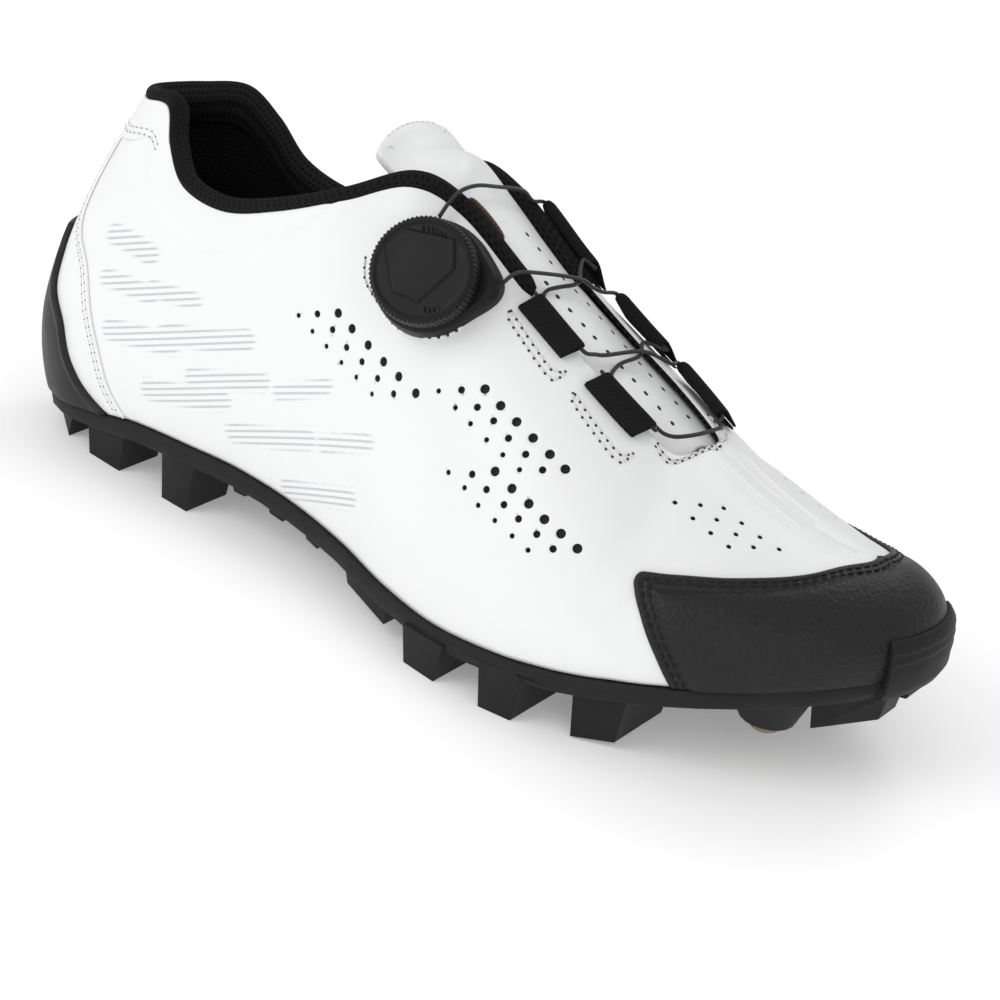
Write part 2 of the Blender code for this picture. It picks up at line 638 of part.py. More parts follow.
def make_tongue(where, cloth):
    rows = []
    for values in TONGUE_TOP:
        row = dict(zip(TONGUE_TOP_COLUMNS, values))
        points = []
        for i in range(9):
            w = i / 4 - 1
            points.append(on_last(
                row["along"] + 0.005 * w * w,
                row["across"] + w * row["half_width"],
                row["rise"] - row["fall"] * w * w,
            ))
        rows.append(points)
    drop = -(WALL + 0.8 * MM)
    for s in TONGUE_STATIONS:
        other = LOOP - s
        a, b = edge(s, drop, 0.0), edge(other, drop, 0.0)
        ta = (surface(s, 1.0) - surface(s, 0.93)).normalized()
        tb = (surface(other, 1.0) - surface(other, 0.93)).normalized()
        pull = (b - a).length * 0.5
        c1, c2 = a + ta * pull, b + tb * pull
        points = [skin(s, 0.88, drop)]
        for i in range(7):
            t = i / 6
            points.append(a * (1 - t) ** 3 + c1 * (3 * t * (1 - t) ** 2) + c2 * (3 * t * t * (1 - t)) + b * t ** 3)
        points.append(skin(other, 0.88, drop))
        rows.append(points)
    bm = bmesh.new()
    grid_faces(bm, rows)
    bmesh.ops.recalc_face_normals(bm, faces=bm.faces)
    if sum((f.normal.z for f in bm.faces)) < 0:
        bmesh.ops.reverse_faces(bm, faces=bm.faces)
    mesh = bpy.data.meshes.new("tongue")
    bm.to_mesh(mesh)
    bm.free()
    for polygon in mesh.polygons:
        polygon.use_smooth = True
    obj = bpy.data.objects.new("tongue", mesh)
    mesh.materials.append(cloth)
    where.objects.link(obj)
    thick = obj.modifiers.new("Thickness", "SOLIDIFY")
    thick.thickness = TONGUE
    thick.offset = -1
    return obj


def collar_ring(s):
    """Section of the padded collar at loop place s: thick round the ankle, a thin binding along the throat."""
    a = min(s, LOOP - s)
    pad = 1 - min(1.0, max(0.0, (a - 6.8) / 1.2))
    tall = 4.6
    length = (surface(s, 1.0) - surface(s, 0.9)).length * 10 / MM
    profile = (
        (0.35, 0.6), (0.9, 0.5 * tall), (0.2, 0.85 * tall), (-1.3, tall),
        (-2.0 - 2.4 * pad, 0.85 * tall), (-2.3 - 3.2 * pad, 0.4 * tall),
        (-2.4 - 3.2 * pad, 0.6 - 4.6 * pad), (-2.4 - 3.1 * pad, 0.5 - 9.5 * pad),
        (-2.3 - 1.3 * pad, 0.6 - 10.0 * pad), (-2.0 - 1.5 * pad, 0.6 - 0.2 * pad),
    )
    return [
        edge(s, out * MM, up * MM) if up > 0 else skin(s, 1 + up / length, out * MM)
        for out, up in profile
    ]


def make_collar(where, mesh_cloth):
    rings = []
    first, last = 10.1, LOOP - 9.05
    count = 44
    for k in range(count + 1):
        s = first + (last - LOOP - first) * k / count
        rings.append(collar_ring(s % LOOP))
    return tube("collar", rings, mesh_cloth, where)


def make_guide(row, where, webbing):
    guide = dict(zip(GUIDE_COLUMNS, row))
    high = guide["height"]
    gap = guide["gap"] * MM
    rings = []
    for k in range(8):
        a = guide["first"] + (guide["last"] - guide["first"]) * k / 7
        s = LOOP - a if guide["medial"] else a
        fade = 1 - 0.35 * abs(2 * k / 7 - 1) ** 3 if guide["medial"] else 1.0
        tall = high * fade
        foot = guide["foot"]
        rings.append([
            skin(s, foot, gap + 0.6 * tall * MM),
            skin(s, (foot + 1) / 2, gap + 0.9 * tall * MM),
            edge(s, gap + 0.95 * tall * MM, -0.3 * MM),
            edge(s, gap + 0.6 * tall * MM, 1.9 * MM),
            edge(s, 0.3 * MM, 2.9 * MM),
            edge(s, -0.9 * MM, 2.7 * MM),
            edge(s, -1.4 * MM, 1.8 * MM),
            edge(s, -0.8 * MM, 0.95 * MM),
            edge(s, gap, 0.85 * MM),
            edge(s, gap, -0.3 * MM),
            skin(s, (foot + 1) / 2, gap),
            skin(s, foot, gap),
        ])
    return tube(guide["name"], rings, webbing, where)


def skin_tree(offset):
    """The outside form as a search tree, for pieces that lie on it."""
    points = []
    faces = []
    levels = [i / 16 for i in range(17)]
    columns = [6 + i / 4 for i in range(25)]
    for s in columns:
        for v in levels:
            points.append(skin(s, v, offset))
    for i in range(len(columns) - 1):
        for j in range(len(levels) - 1):
            k = i * len(levels) + j
            faces.append((k, k + 1, k + len(levels) + 1, k + len(levels)))
    return BVHTree.FromPolygons(points, faces)


DIAL_AT = (8.84, 0.72)
DIAL_AXIS = Vector((0.20, -0.85, 0.49)).normalized()


def make_dial(where, plastic, knob_plastic):
    centre = surface(*DIAL_AT)
    tree = skin_tree(0.55 * MM)
    side = DIAL_AXIS.cross(Vector((0, 0, 1))).normalized()
    other = side.cross(DIAL_AXIS)
    top = DIAL_TOP
    rows_out = []
    rows_in = []
    sides = 36
    for r in (0.0, 0.4, 0.75, 1.0):
        outer = []
        inner = []
        for k in range(sides):
            angle = 2 * math.pi * k / sides
            bump = max(0.0, math.cos(angle - PORT_ANGLE)) ** 12
            radius = r * (BASE_RADIUS + PORT * bump)
            flat = centre + (side * math.cos(angle) + other * math.sin(angle)) * radius
            start = flat + DIAL_AXIS * HALF_BALL
            hit = tree.ray_cast(start, -DIAL_AXIS)[0]
            inner.append(hit)
            outer.append(flat + DIAL_AXIS * (top if r < 1 else top - 0.8 * MM))
        rows_out.append(outer)
        rows_in.append(inner)
    bm = bmesh.new()
    outer = grid_faces(bm, rows_out, closed=True)
    inner = grid_faces(bm, rows_in, closed=True)
    for i in range(sides):
        j = (i + 1) % sides
        bm.faces.new((outer[-1][i], outer[-1][j], inner[-1][j], inner[-1][i]))
    base = finish_mesh("dial_base", bm, plastic, where, 1e-6)
    knob = cylinder("dial_knob", centre + DIAL_AXIS * (top + CLEARANCE), DIAL_AXIS, KNOB_RADIUS, KNOB_HEIGHT, 40, where, knob_plastic, KNOB_EDGE)
    return base, knob


def dial_frame():
    side = DIAL_AXIS.cross(Vector((0, 0, 1))).normalized()
    return surface(*DIAL_AT), side, side.cross(DIAL_AXIS)


def by_dial(angle, reach, up):
    """A point beside the dial's base: round it by angle, out from its edge, up along its axis."""
    centre, side, other = dial_frame()
    return centre + (side * math.cos(angle) + other * math.sin(angle)) * (BASE_RADIUS + reach) + DIAL_AXIS * up


def make_wires(where, helpers, steel):
    runs = {
        "top": [by_dial(*EXIT_TOP)] + [on_last(*p) for p in WIRE_TOP],
        "dial": [by_dial(*EXIT_SIDE)] + [on_last(*p) for p in WIRE_DIAL],
        "upper": [on_last(*p) for p in WIRE_UPPER],
        "mid": [on_last(*p) for p in WIRE_MID],
        "lower": [on_last(*p) for p in WIRE_LOWER],
        "toe": [on_last(*p) for p in WIRE_TOE],
    }
    tube("lace_top", rod_rings(fine(runs["top"], 3), WIRE), steel, where)
    tube("lace_toe", rod_rings(fine(runs["toe"], 3), WIRE), steel, where)
    for name, first, second in (("lace_crossing_upper", "dial", "upper"), ("lace_crossing_lower", "mid", "lower")):
        main = tube(name, rod_rings(fine(runs[first], 3), WIRE), steel, where)
        crossing = tube(name + "_cross", rod_rings(fine(runs[second], 3), WIRE), steel, helpers)
        boolean(main, crossing, "UNION")


def set_on_middle(where, helpers):
    """Moves every mesh so that the middle of the shoe's box on the floor is the world's origin."""
    graph = bpy.context.evaluated_depsgraph_get()
    points = []
    for obj in where.objects:
        mesh = obj.evaluated_get(graph).to_mesh()
        points += [vertex.co.copy() for vertex in mesh.vertices]
    low = Vector([min(p[i] for p in points) for i in range(3)])
    high = Vector([max(p[i] for p in points) for i in range(3)])
    shift = Matrix.Translation((-(low.x + high.x) / 2, -(low.y + high.y) / 2, -low.z))
    for obj in list(where.objects) + list(helpers.objects):
        obj.data.transform(shift)


def main():
    clear()
    shoe = bpy.data.collections.new("cycling_shoe")
    helpers = bpy.data.collections.new("helpers")
    bpy.context.scene.collection.children.link(shoe)
    bpy.context.scene.collection.children.link(helpers)
    rubber = material("black_rubber", (0.02, 0.02, 0.02), 0.6)
    make_outsole(shoe, helpers, rubber)
    make_insole(shoe, material("insole_foam", (0.05, 0.05, 0.055), 0.9))
    make_upper(shoe, material("white_leather", (0.85, 0.85, 0.85), 0.5))
    make_tongue(shoe, material("tongue_leather", (0.75, 0.75, 0.76), 0.6))
    overlay("toe_cap", TOE, CAP_REACH, lambda d: table(CAP_TOP if d < 0 else CAP_TOP_MEDIAL, abs(d)), 0.4 * MM, 1.5 * MM, 22, 6,
            material("toe_cap_leather", (0.03, 0.03, 0.03), 0.5), shoe)
    overlay("back_stay", 0, STAY_REACH, lambda d: STAY_TOP, 0.6 * MM, 1.25 * MM, 17, 9,
            material("back_stay_leather", (0.86, 0.86, 0.86), 0.5), shoe)
    overlay("heel_counter", 0, COUNTER_REACH, lambda d: COUNTER_TOP, 1.9 * MM, 3.2 * MM, 15, 8,
            material("counter_rubber", (0.04, 0.04, 0.04), 0.5), shoe)
    make_collar(shoe, material("collar_mesh", (0.02, 0.02, 0.02), 0.9))
    webbing = material("guide_webbing", (0.02, 0.02, 0.02), 0.9)
    for row in GUIDES:
        make_guide(row, shoe, webbing)
    make_dial(shoe, material("dial_base_plastic", (0.03, 0.03, 0.03), 0.4), material("dial_knob_plastic", (0.02, 0.02, 0.02), 0.4))
    make_studs(shoe, material("stud_brass", (0.30, 0.22, 0.12), 0.4, 1.0))
    make_loop(shoe, material("loop_webbing", (0.35, 0.25, 0.16), 0.9))
    make_wires(shoe, helpers, material("lace_wire", (0.05, 0.05, 0.05), 0.4))
    set_on_middle(shoe, helpers)
    for obj in helpers.objects:
        obj.hide_render = True
        obj.display_type = "WIRE"
    helpers.hide_render = True


main()
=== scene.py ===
"""Look of the cycling shoe: surfaces, seams, wire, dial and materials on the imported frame."""
import math

import bmesh
import bpy
import numpy as np
from mathutils import Matrix, Vector

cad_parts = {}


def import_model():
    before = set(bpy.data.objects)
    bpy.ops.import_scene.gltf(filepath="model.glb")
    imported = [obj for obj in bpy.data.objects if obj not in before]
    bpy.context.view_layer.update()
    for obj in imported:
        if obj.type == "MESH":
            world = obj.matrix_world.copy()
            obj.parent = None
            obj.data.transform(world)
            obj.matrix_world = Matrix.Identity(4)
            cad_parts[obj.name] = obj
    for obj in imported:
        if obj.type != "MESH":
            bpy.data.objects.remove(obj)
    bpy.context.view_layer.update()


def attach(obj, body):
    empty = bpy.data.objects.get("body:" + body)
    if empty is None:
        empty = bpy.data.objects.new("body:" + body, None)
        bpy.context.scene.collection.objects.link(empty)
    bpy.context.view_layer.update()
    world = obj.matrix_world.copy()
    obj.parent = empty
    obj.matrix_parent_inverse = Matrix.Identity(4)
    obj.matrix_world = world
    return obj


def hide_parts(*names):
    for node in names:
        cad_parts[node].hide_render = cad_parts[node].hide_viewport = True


MM = 0.001

# Last, in metres
LENGTH = 286.0 * MM
HALF_BALL = 51.5 * MM
INSTEP_HEIGHT = 112.0 * MM
WALL = 2.0 * MM
CLEARANCE = 0.3 * MM

# Small parts
INSOLE = 3.5 * MM
TONGUE = 3.0 * MM
WIRE = 0.55 * MM
KNOB_RADIUS = 13.8 * MM
BASE_RADIUS = 14.9 * MM
DIAL_TOP = 4.6 * MM
KNOB_HEIGHT = 7.0 * MM
PORT = 3.0 * MM
STUD = 4.6 * MM
STUD_HEIGHT = 3.3 * MM

# Where the dial sits on the upper, and which way it faces
DIAL_AT = (8.84, 0.72)
DIAL_AXIS = np.array((0.20, -0.85, 0.49)) / np.linalg.norm((0.20, -0.85, 0.49))

# From the last's own origin, at the back of the heel, to the part's
PLACE = Vector((-134.318, 2.316, 0.0)) * MM


# The rows run from the heel centre by the lateral side to the toe centre, then back by the medial side
# Places are shares of the length, the half ball width and the instep height,
# swells are shares of the half ball width
COLUMNS = (
    "base_along", "base_across", "base_rise", "top_along", "top_across", "top_rise",
    "side_full", "low_swell", "high_swell", "shoulder_in", "shoulder_up",
)
LATERAL = (
    (0.003,  0.000, 0.112, 0.051,  0.000, 0.884, 0.30, 0.175, 0.252, 0.85, 0.62),
    (0.017, -0.311, 0.112, 0.077, -0.214, 0.904, 0.30, 0.175, 0.243, 0.85, 0.62),
    (0.059, -0.495, 0.125, 0.115, -0.301, 0.920, 0.32, 0.146, 0.136, 0.80, 0.66),
    (0.112, -0.573, 0.147, 0.136, -0.388, 0.838, 0.34, 0.107, 0.058, 0.70, 0.70),
    (0.168, -0.608, 0.170, 0.168, -0.466, 0.775, 0.34, 0.087, 0.039, 0.66, 0.70),
    (0.231, -0.621, 0.177, 0.224, -0.515, 0.768, 0.34, 0.087, 0.039, 0.66, 0.70),
    (0.294, -0.621, 0.177, 0.287, -0.544, 0.824, 0.34, 0.097, 0.039, 0.66, 0.70),
    (0.364, -0.650, 0.163, 0.350, -0.524, 0.900, 0.36, 0.097, 0.039, 0.60, 0.76),
    (0.434, -0.738, 0.146, 0.409, -0.417, 0.982, 0.40, 0.078, 0.039, 0.50, 0.84),
    (0.503, -0.874, 0.128, 0.458, -0.330, 0.951, 0.44, 0.058, 0.019, 0.48, 0.88),
    (0.573, -0.981, 0.123, 0.531, -0.311, 0.835, 0.46, 0.049, 0.019, 0.48, 0.88),
    (0.643, -1.029, 0.139, 0.600, -0.311, 0.732, 0.48, 0.049, 0.019, 0.48, 0.88),
    (0.692, -1.016, 0.155, 0.663, -0.272, 0.634, 0.49, 0.049, 0.019, 0.48, 0.90),
    (0.724, -0.986, 0.168, 0.698, -0.184, 0.571, 0.49, 0.054, 0.019, 0.49, 0.94),
    (0.748, -0.951, 0.180, 0.713,  0.068, 0.577, 0.50, 0.058, 0.019, 0.50, 0.98),
    (0.780, -0.899, 0.196, 0.729,  0.078, 0.559, 0.50, 0.058, 0.019, 0.50, 1.00),
    (0.822, -0.796, 0.219, 0.762,  0.078, 0.525, 0.52, 0.058, 0.019, 0.48, 1.00),
    (0.867, -0.631, 0.243, 0.801,  0.087, 0.491, 0.56, 0.058, 0.023, 0.44, 1.00),
    (0.907, -0.417, 0.264, 0.832,  0.097, 0.470, 0.62, 0.049, 0.016, 0.38, 1.00),
    (0.937, -0.155, 0.277, 0.851,  0.107, 0.462, 0.66, 0.039, 0.016, 0.34, 1.00),
    (0.946,  0.117, 0.281, 0.860,  0.126, 0.461, 0.68, 0.029, 0.016, 0.32, 1.00),
)
MEDIAL = (
    (0.017,  0.311, 0.112, 0.073,  0.243, 0.889, 0.30, 0.175, 0.233, 0.85, 0.62),
    (0.059,  0.485, 0.125, 0.112,  0.379, 0.897, 0.32, 0.146, 0.126, 0.80, 0.66),
    (0.112,  0.553, 0.147, 0.143,  0.466, 0.830, 0.34, 0.107, 0.058, 0.70, 0.70),
    (0.168,  0.579, 0.174, 0.175,  0.524, 0.741, 0.34, 0.087, 0.039, 0.66, 0.70),
    (0.231,  0.563, 0.192, 0.226,  0.544, 0.705, 0.34, 0.087, 0.039, 0.66, 0.70),
    (0.294,  0.524, 0.205, 0.276,  0.553, 0.719, 0.34, 0.097, 0.039, 0.66, 0.70),
    (0.364,  0.505, 0.205, 0.332,  0.524, 0.808, 0.36, 0.097, 0.039, 0.60, 0.74),
    (0.441,  0.553, 0.183, 0.392,  0.427, 0.911, 0.38, 0.087, 0.039, 0.50, 0.80),
    (0.517,  0.670, 0.156, 0.448,  0.359, 0.900, 0.38, 0.058, 0.019, 0.48, 0.82),
    (0.587,  0.796, 0.138, 0.514,  0.330, 0.802, 0.38, 0.058, 0.000, 0.48, 0.82),
    (0.657,  0.903, 0.141, 0.584,  0.330, 0.701, 0.38, 0.049, 0.000, 0.48, 0.82),
    (0.699,  0.938, 0.154, 0.647,  0.320, 0.621, 0.38, 0.049, 0.000, 0.48, 0.84),
    (0.731,  0.942, 0.168, 0.696,  0.252, 0.566, 0.37, 0.054, 0.000, 0.50, 0.88),
    (0.755,  0.928, 0.180, 0.713,  0.068, 0.577, 0.36, 0.058, 0.000, 0.54, 0.92),
    (0.783,  0.899, 0.196, 0.729,  0.078, 0.559, 0.36, 0.058, 0.000, 0.54, 0.92),
    (0.822,  0.816, 0.219, 0.762,  0.078, 0.525, 0.38, 0.058, 0.000, 0.52, 0.92),
    (0.867,  0.689, 0.243, 0.801,  0.087, 0.491, 0.42, 0.049, 0.000, 0.48, 0.94),
    (0.907,  0.534, 0.264, 0.832,  0.097, 0.470, 0.52, 0.049, 0.006, 0.42, 0.98),
    (0.935,  0.350, 0.277, 0.851,  0.107, 0.462, 0.62, 0.039, 0.012, 0.36, 1.00),
)
TOE = len(LATERAL) - 1
LOOP = 2 * TOE
THROAT = 14  # the station where the throat ends and the two sides meet on the ridge

# Studs under the toe, in shares of the last's sizes: place and the level of the boss's foot
STUDS = (
    ("toe_stud_lateral", 0.8531, -0.388, 0.1143),
    ("toe_stud_medial", 0.8531, 0.485, 0.1143),
)

# Overlays: how far each reaches from its middle station, by share of its height
COUNTER_TOP = 0.56
COUNTER_REACH = ((0.0, 3.3), (0.11, 2.75), (0.25, 2.3), (0.46, 1.85), (0.64, 1.3), (0.9, 1.02), (1.0, 0.8))
STAY_TOP = 0.87
STAY_REACH = (
    (0.0, 3.7), (0.12, 3.27), (0.25, 2.93), (0.37, 2.53), (0.5, 2.07), (0.64, 1.35), (0.75, 1.0), (0.85, 0.8),
    (1.0, 0.75),
)

# Tongue above the throat, in shares of the last's sizes: along, across, rise, half width,
# how far the edges fall
TONGUE_TOP = (
    (0.3444, 0.0194, 1.0411, 0.2427, 0.0214),
    (0.3497, 0.0194, 1.0375, 0.3010, 0.0304),
    (0.3741, 0.0194, 1.0054, 0.3107, 0.0393),
)
TONGUE_STATIONS = (8.6, 9.1, 9.7, 10.3, 10.9, 11.5, 12.1, 12.7, 13.3)

# Lace guides: side, first and last station, and where on the side each begins
GUIDES = (
    ("lace_guide_lateral_rear", False, 10.2, 10.95, 0.87, 1.4, 0.7),
    ("lace_guide_lateral_front", False, 11.35, 12.25, 0.87, 1.4, 0.7),
    ("lace_guide_medial_rear", True, 9.2, 10.12, 0.84, 3.0, 0.8),
    ("lace_guide_medial_mid", True, 10.6, 11.4, 0.84, 3.0, 0.8),
    ("lace_guide_medial_front", True, 11.75, 12.75, 0.84, 2.6, 0.8),
)

# Wire lace: each point's shares of the length, the half ball width and the instep height
PORT_ANGLE = 3.05
# Where the wire leaves the dial's base: the angle round it, how far out, how high
EXIT_TOP = (1.375, 0.6 * MM, 1.6 * MM)
EXIT_SIDE = (2.935, 3.7 * MM, 1.5 * MM)
WIRE_TOP = (
    (0.4510, -0.3592, 0.9875),
    (0.4545, -0.2330, 1.0000),
    (0.4580, -0.0583, 0.9857),
    (0.4598,  0.1748, 0.9580),
    (0.4584,  0.3029, 0.9196),
)
WIRE_DIAL = (
    (0.5290, -0.3883, 0.8714),
    (0.5360, -0.2524, 0.8643),
    (0.5476,  0.0388, 0.8250),
    (0.5524,  0.1553, 0.8018),
    (0.5552,  0.2427, 0.7839),
)
WIRE_UPPER = (
    (0.5213,  0.3204, 0.8268),
    (0.5315,  0.1942, 0.8268),
    (0.5476,  0.0388, 0.8250),
    (0.5427, -0.0971, 0.8196),
    (0.5402, -0.1748, 0.8179),
    (0.5413, -0.2330, 0.8071),
)
WIRE_MID = (
    (0.6063, -0.2369, 0.7304),
    (0.6091, -0.1553, 0.7223),
    (0.6196,  0.0777, 0.7089),
    (0.6283,  0.1942, 0.6946),
    (0.6357,  0.2641, 0.6768),
)
WIRE_LOWER = (
    (0.6024,  0.2738, 0.6991),
    (0.6196,  0.0777, 0.7089),
    (0.6171, -0.0777, 0.7000),
    (0.6196, -0.1748, 0.6911),
    (0.6248, -0.2330, 0.6830),
)
WIRE_TOE = (
    (0.6741, -0.2000, 0.6165),
    (0.6811, -0.1748, 0.6027),
    (0.6888, -0.1165, 0.5946),
    (0.6965,  0.0194, 0.5911),
    (0.7007,  0.1748, 0.5893),
    (0.7000,  0.2252, 0.5875),
    (0.6930,  0.2544, 0.5911),
)


COLUMN = {name: i for i, name in enumerate(COLUMNS)}
TOPS = [COLUMN["top_along"], COLUMN["top_across"], COLUMN["top_rise"]]
ROWS = np.array(LATERAL + MEDIAL[::-1])


def stations(s):
    """Every column of the last at loop places s, on a smooth curve through its rows."""
    s = np.mod(np.asarray(s, float), LOOP)
    i = np.floor(s).astype(int)
    t = s - i
    weights = np.stack([
        0.5 * (-t + 2 * t * t - t ** 3),
        0.5 * (2 - 5 * t * t + 3 * t ** 3),
        0.5 * (t + 4 * t * t - 3 * t ** 3),
        0.5 * (-t * t + t ** 3),
    ], -1)
    places = i[..., None] + np.array((-1, 0, 1, 2))
    made = np.einsum("...k,...kc->...c", weights, ROWS[places % LOOP])
    ridge = (s >= THROAT) & (s <= LOOP - THROAT)
    shared = np.einsum("...k,...kc->...c", weights, ROWS[np.clip(places, THROAT, LOOP - THROAT) % LOOP])
    for c in TOPS:
        made[..., c] = np.where(ridge, shared[..., c], made[..., c])
    return made


def feather(s):
    """Where the upper meets the sole."""
    return stations(s)[..., :3] * (LENGTH, HALF_BALL, INSTEP_HEIGHT)


def outward(s):
    d = feather(np.asarray(s, float) + 0.02) - feather(np.asarray(s, float) - 0.02)
    out = np.stack([d[..., 1], -d[..., 0], np.zeros(d.shape[:-1])], -1)
    return out / np.linalg.norm(out, axis=-1, keepdims=True)


def last_form(s, v):
    """Outside of the upper from its feather line (v 0) to its top edge (v 1), in the last's own frame."""
    s, v = np.broadcast_arrays(np.asarray(s, float), np.asarray(v, float))
    q = stations(s)
    base = q[..., :3] * (LENGTH, HALF_BALL, INSTEP_HEIGHT)
    low = 3 * (1 - v) ** 2 * v
    high = 3 * (1 - v) * v * v
    inward = high * q[..., COLUMN["shoulder_in"]] + v ** 3
    swell = (q[..., COLUMN["low_swell"]] * low + q[..., COLUMN["high_swell"]] * high) * HALF_BALL
    point = base + outward(s) * swell[..., None]
    point[..., 0] += (q[..., COLUMN["top_along"]] * LENGTH - base[..., 0]) * inward
    point[..., 1] += (q[..., COLUMN["top_across"]] * HALF_BALL - base[..., 1]) * inward
    rise = q[..., COLUMN["top_rise"]] * INSTEP_HEIGHT - base[..., 2]
    point[..., 2] += rise * (low * q[..., COLUMN["side_full"]] + high * q[..., COLUMN["shoulder_up"]] + v ** 3)
    return point


def unit(a):
    return a / np.maximum(np.linalg.norm(a, axis=-1, keepdims=True), 1e-12)


def last_normal(s, v):
    e = 0.01
    s, v = np.broadcast_arrays(np.asarray(s, float), np.asarray(v, float))
    along = last_form(s + e, v) - last_form(s - e, v)
    up = last_form(s, np.minimum(1, v + e)) - last_form(s, np.maximum(0, v - e))
    return unit(np.cross(along, up))


def skin(s, v, offset=0.0):
    """Points at an offset from the upper's outside, in the part's frame."""
    offset = np.asarray(offset, float)
    return last_form(s, v) + last_normal(s, v) * offset[..., None] + np.array(PLACE)


def edge(s, out, up):
    """Points near the top edge: out along the normal, up along the side beyond the edge."""
    s = np.asarray(s, float)
    out, up = np.asarray(out, float), np.asarray(up, float)
    rise = unit(last_form(s, 1.0) - last_form(s, 0.97))
    point = last_form(s, 1.0) + last_normal(s, 0.995) * out[..., None] + rise * up[..., None]
    return point + np.array(PLACE)


class Signal:
    """A shader socket that plain arithmetic works on."""

    def __init__(self, finish, socket):
        self.finish = finish
        self.socket = socket

    def math(self, operation, *others):
        return self.finish.node("Math", {"operation": operation}, dict(enumerate((self,) + others)))

    def __add__(self, other):
        return self.math("ADD", other)

    def __sub__(self, other):
        return self.math("SUBTRACT", other)

    def __mul__(self, other):
        return self.math("MULTIPLY", other)

    def __truediv__(self, other):
        return self.math("DIVIDE", other)

    def __radd__(self, other):
        return self.math("ADD", other)

    def __rmul__(self, other):
        return self.math("MULTIPLY", other)

    def __rsub__(self, other):
        return self.finish.node("Math", {"operation": "SUBTRACT"}, {0: other, 1: self})

    def __rtruediv__(self, other):
        return self.finish.node("Math", {"operation": "DIVIDE"}, {0: other, 1: self})


class Finish:
    """One material: a Principled shader whose constants are set on its own sockets."""

    def __init__(self, name, colour, roughness, **sockets):
        self.material = bpy.data.materials.new(name)
        self.material.use_nodes = True
        self.material.diffuse_color = (*colour, 1)
        self.tree = self.material.node_tree
        self.shader = self.tree.nodes["Principled BSDF"]
        self.shader.inputs["Base Color"].default_value = (*colour, 1)
        self.shader.inputs["Roughness"].default_value = roughness
        for key, value in sockets.items():
            self.shader.inputs[key.replace("_", " ").title().replace("Ior", "IOR")].default_value = value

    def node(self, kind, settings=None, inputs=None, output=0):
        made = self.tree.nodes.new("ShaderNode" + kind)
        for key, value in (settings or {}).items():
            if key == "stops":
                ramp = made.color_ramp
                while len(ramp.elements) < len(value):
                    ramp.elements.new(0.5)
                for element, (place, colour) in zip(ramp.elements, value):
                    element.position = place
                    element.color = (*colour, 1) if len(colour) == 3 else colour
            else:
                setattr(made, key, value)
        for key, value in (inputs or {}).items():
            self.feed(made.inputs[key], value)
        return Signal(self, made.outputs[output])

    def feed(self, socket, value):
        if isinstance(value, Signal):
            self.tree.links.new(value.socket, socket)
        else:
            socket.default_value = value

    def drive(self, **links):
        for key, value in links.items():
            self.feed(self.shader.inputs[key.replace("_", " ").title()], value)

    def object_place(self):
        return self.node("TexCoord", None, None, 3)

    def place(self, name="place"):
        """Both coordinates of the piece's own map, as two signals."""
        uv = self.node("UVMap", {"uv_map": name})
        split = self.node("SeparateXYZ", None, {0: uv})
        return split, Signal(self, split.socket.node.outputs[1])

    def noise(self, scale, detail=3.0, roughness=0.5, where=None):
        return self.node("TexNoise", None, {
            "Vector": where or self.object_place(), "Scale": scale, "Detail": detail, "Roughness": roughness,
        })

    def cells(self, scale, feature="F1", where=None, spread=1.0):
        return self.node("TexVoronoi", {"feature": feature}, {
            "Vector": where or self.object_place(), "Scale": scale, "Randomness": spread,
        })

    def mix(self, share, first, second):
        made = self.tree.nodes.new("ShaderNodeMix")
        made.data_type = "RGBA"
        self.feed(made.inputs[0], share)
        self.feed(made.inputs[6], first)
        self.feed(made.inputs[7], second)
        return Signal(self, made.outputs[2])

    def between(self, value, low, high):
        """A value from 0 to 1 spread between two others."""
        return self.node("MapRange", None, {"Value": value, "To Min": low, "To Max": high})

    def relief(self, height, distance, strength=1.0):
        """A bump that feeds the shader's normal."""
        bump = self.node("Bump", None, {"Height": height, "Distance": distance, "Strength": strength})
        self.feed(self.shader.inputs["Normal"], bump)
        return bump


def finished(name, bm, finish, replaces=()):
    """Ends a bmesh as a piece of the shoe."""
    mesh = bpy.data.meshes.new(name)
    bm.to_mesh(mesh)
    bm.free()
    for polygon in mesh.polygons:
        polygon.use_smooth = True
    obj = bpy.data.objects.new(name, mesh)
    bpy.context.scene.collection.objects.link(obj)
    for one in finish if isinstance(finish, (list, tuple)) else [finish]:
        mesh.materials.append(one.material)
    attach(obj, "root")
    if replaces:
        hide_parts(*replaces)
    return obj


def sheet_of(shape, across, along, uv_scale=(1.0, 1.0), into=None):
    """A grid mapped through shape(u, w), with both running from 0 to 1 and kept in the map named place."""
    bm = into or bmesh.new()
    layer = bm.loops.layers.uv.get("place") or bm.loops.layers.uv.new("place")
    made = bmesh.ops.create_grid(bm, x_segments=across, y_segments=along, size=0.5)["verts"]
    bm.verts.ensure_lookup_table()
    flat = np.array([v.co for v in made]) + 0.5
    points = shape(np.round(flat[:, 0] * across) / across, np.round(flat[:, 1] * along) / along)
    place = {}
    for v, (u, w, _), point in zip(made, flat, points):
        place[v] = (u * uv_scale[0], w * uv_scale[1])
        v.co = point
    for face in {f for v in made for f in v.link_faces}:
        for loop in face.loops:
            loop[layer].uv = place[loop.vert]
    return bm, made


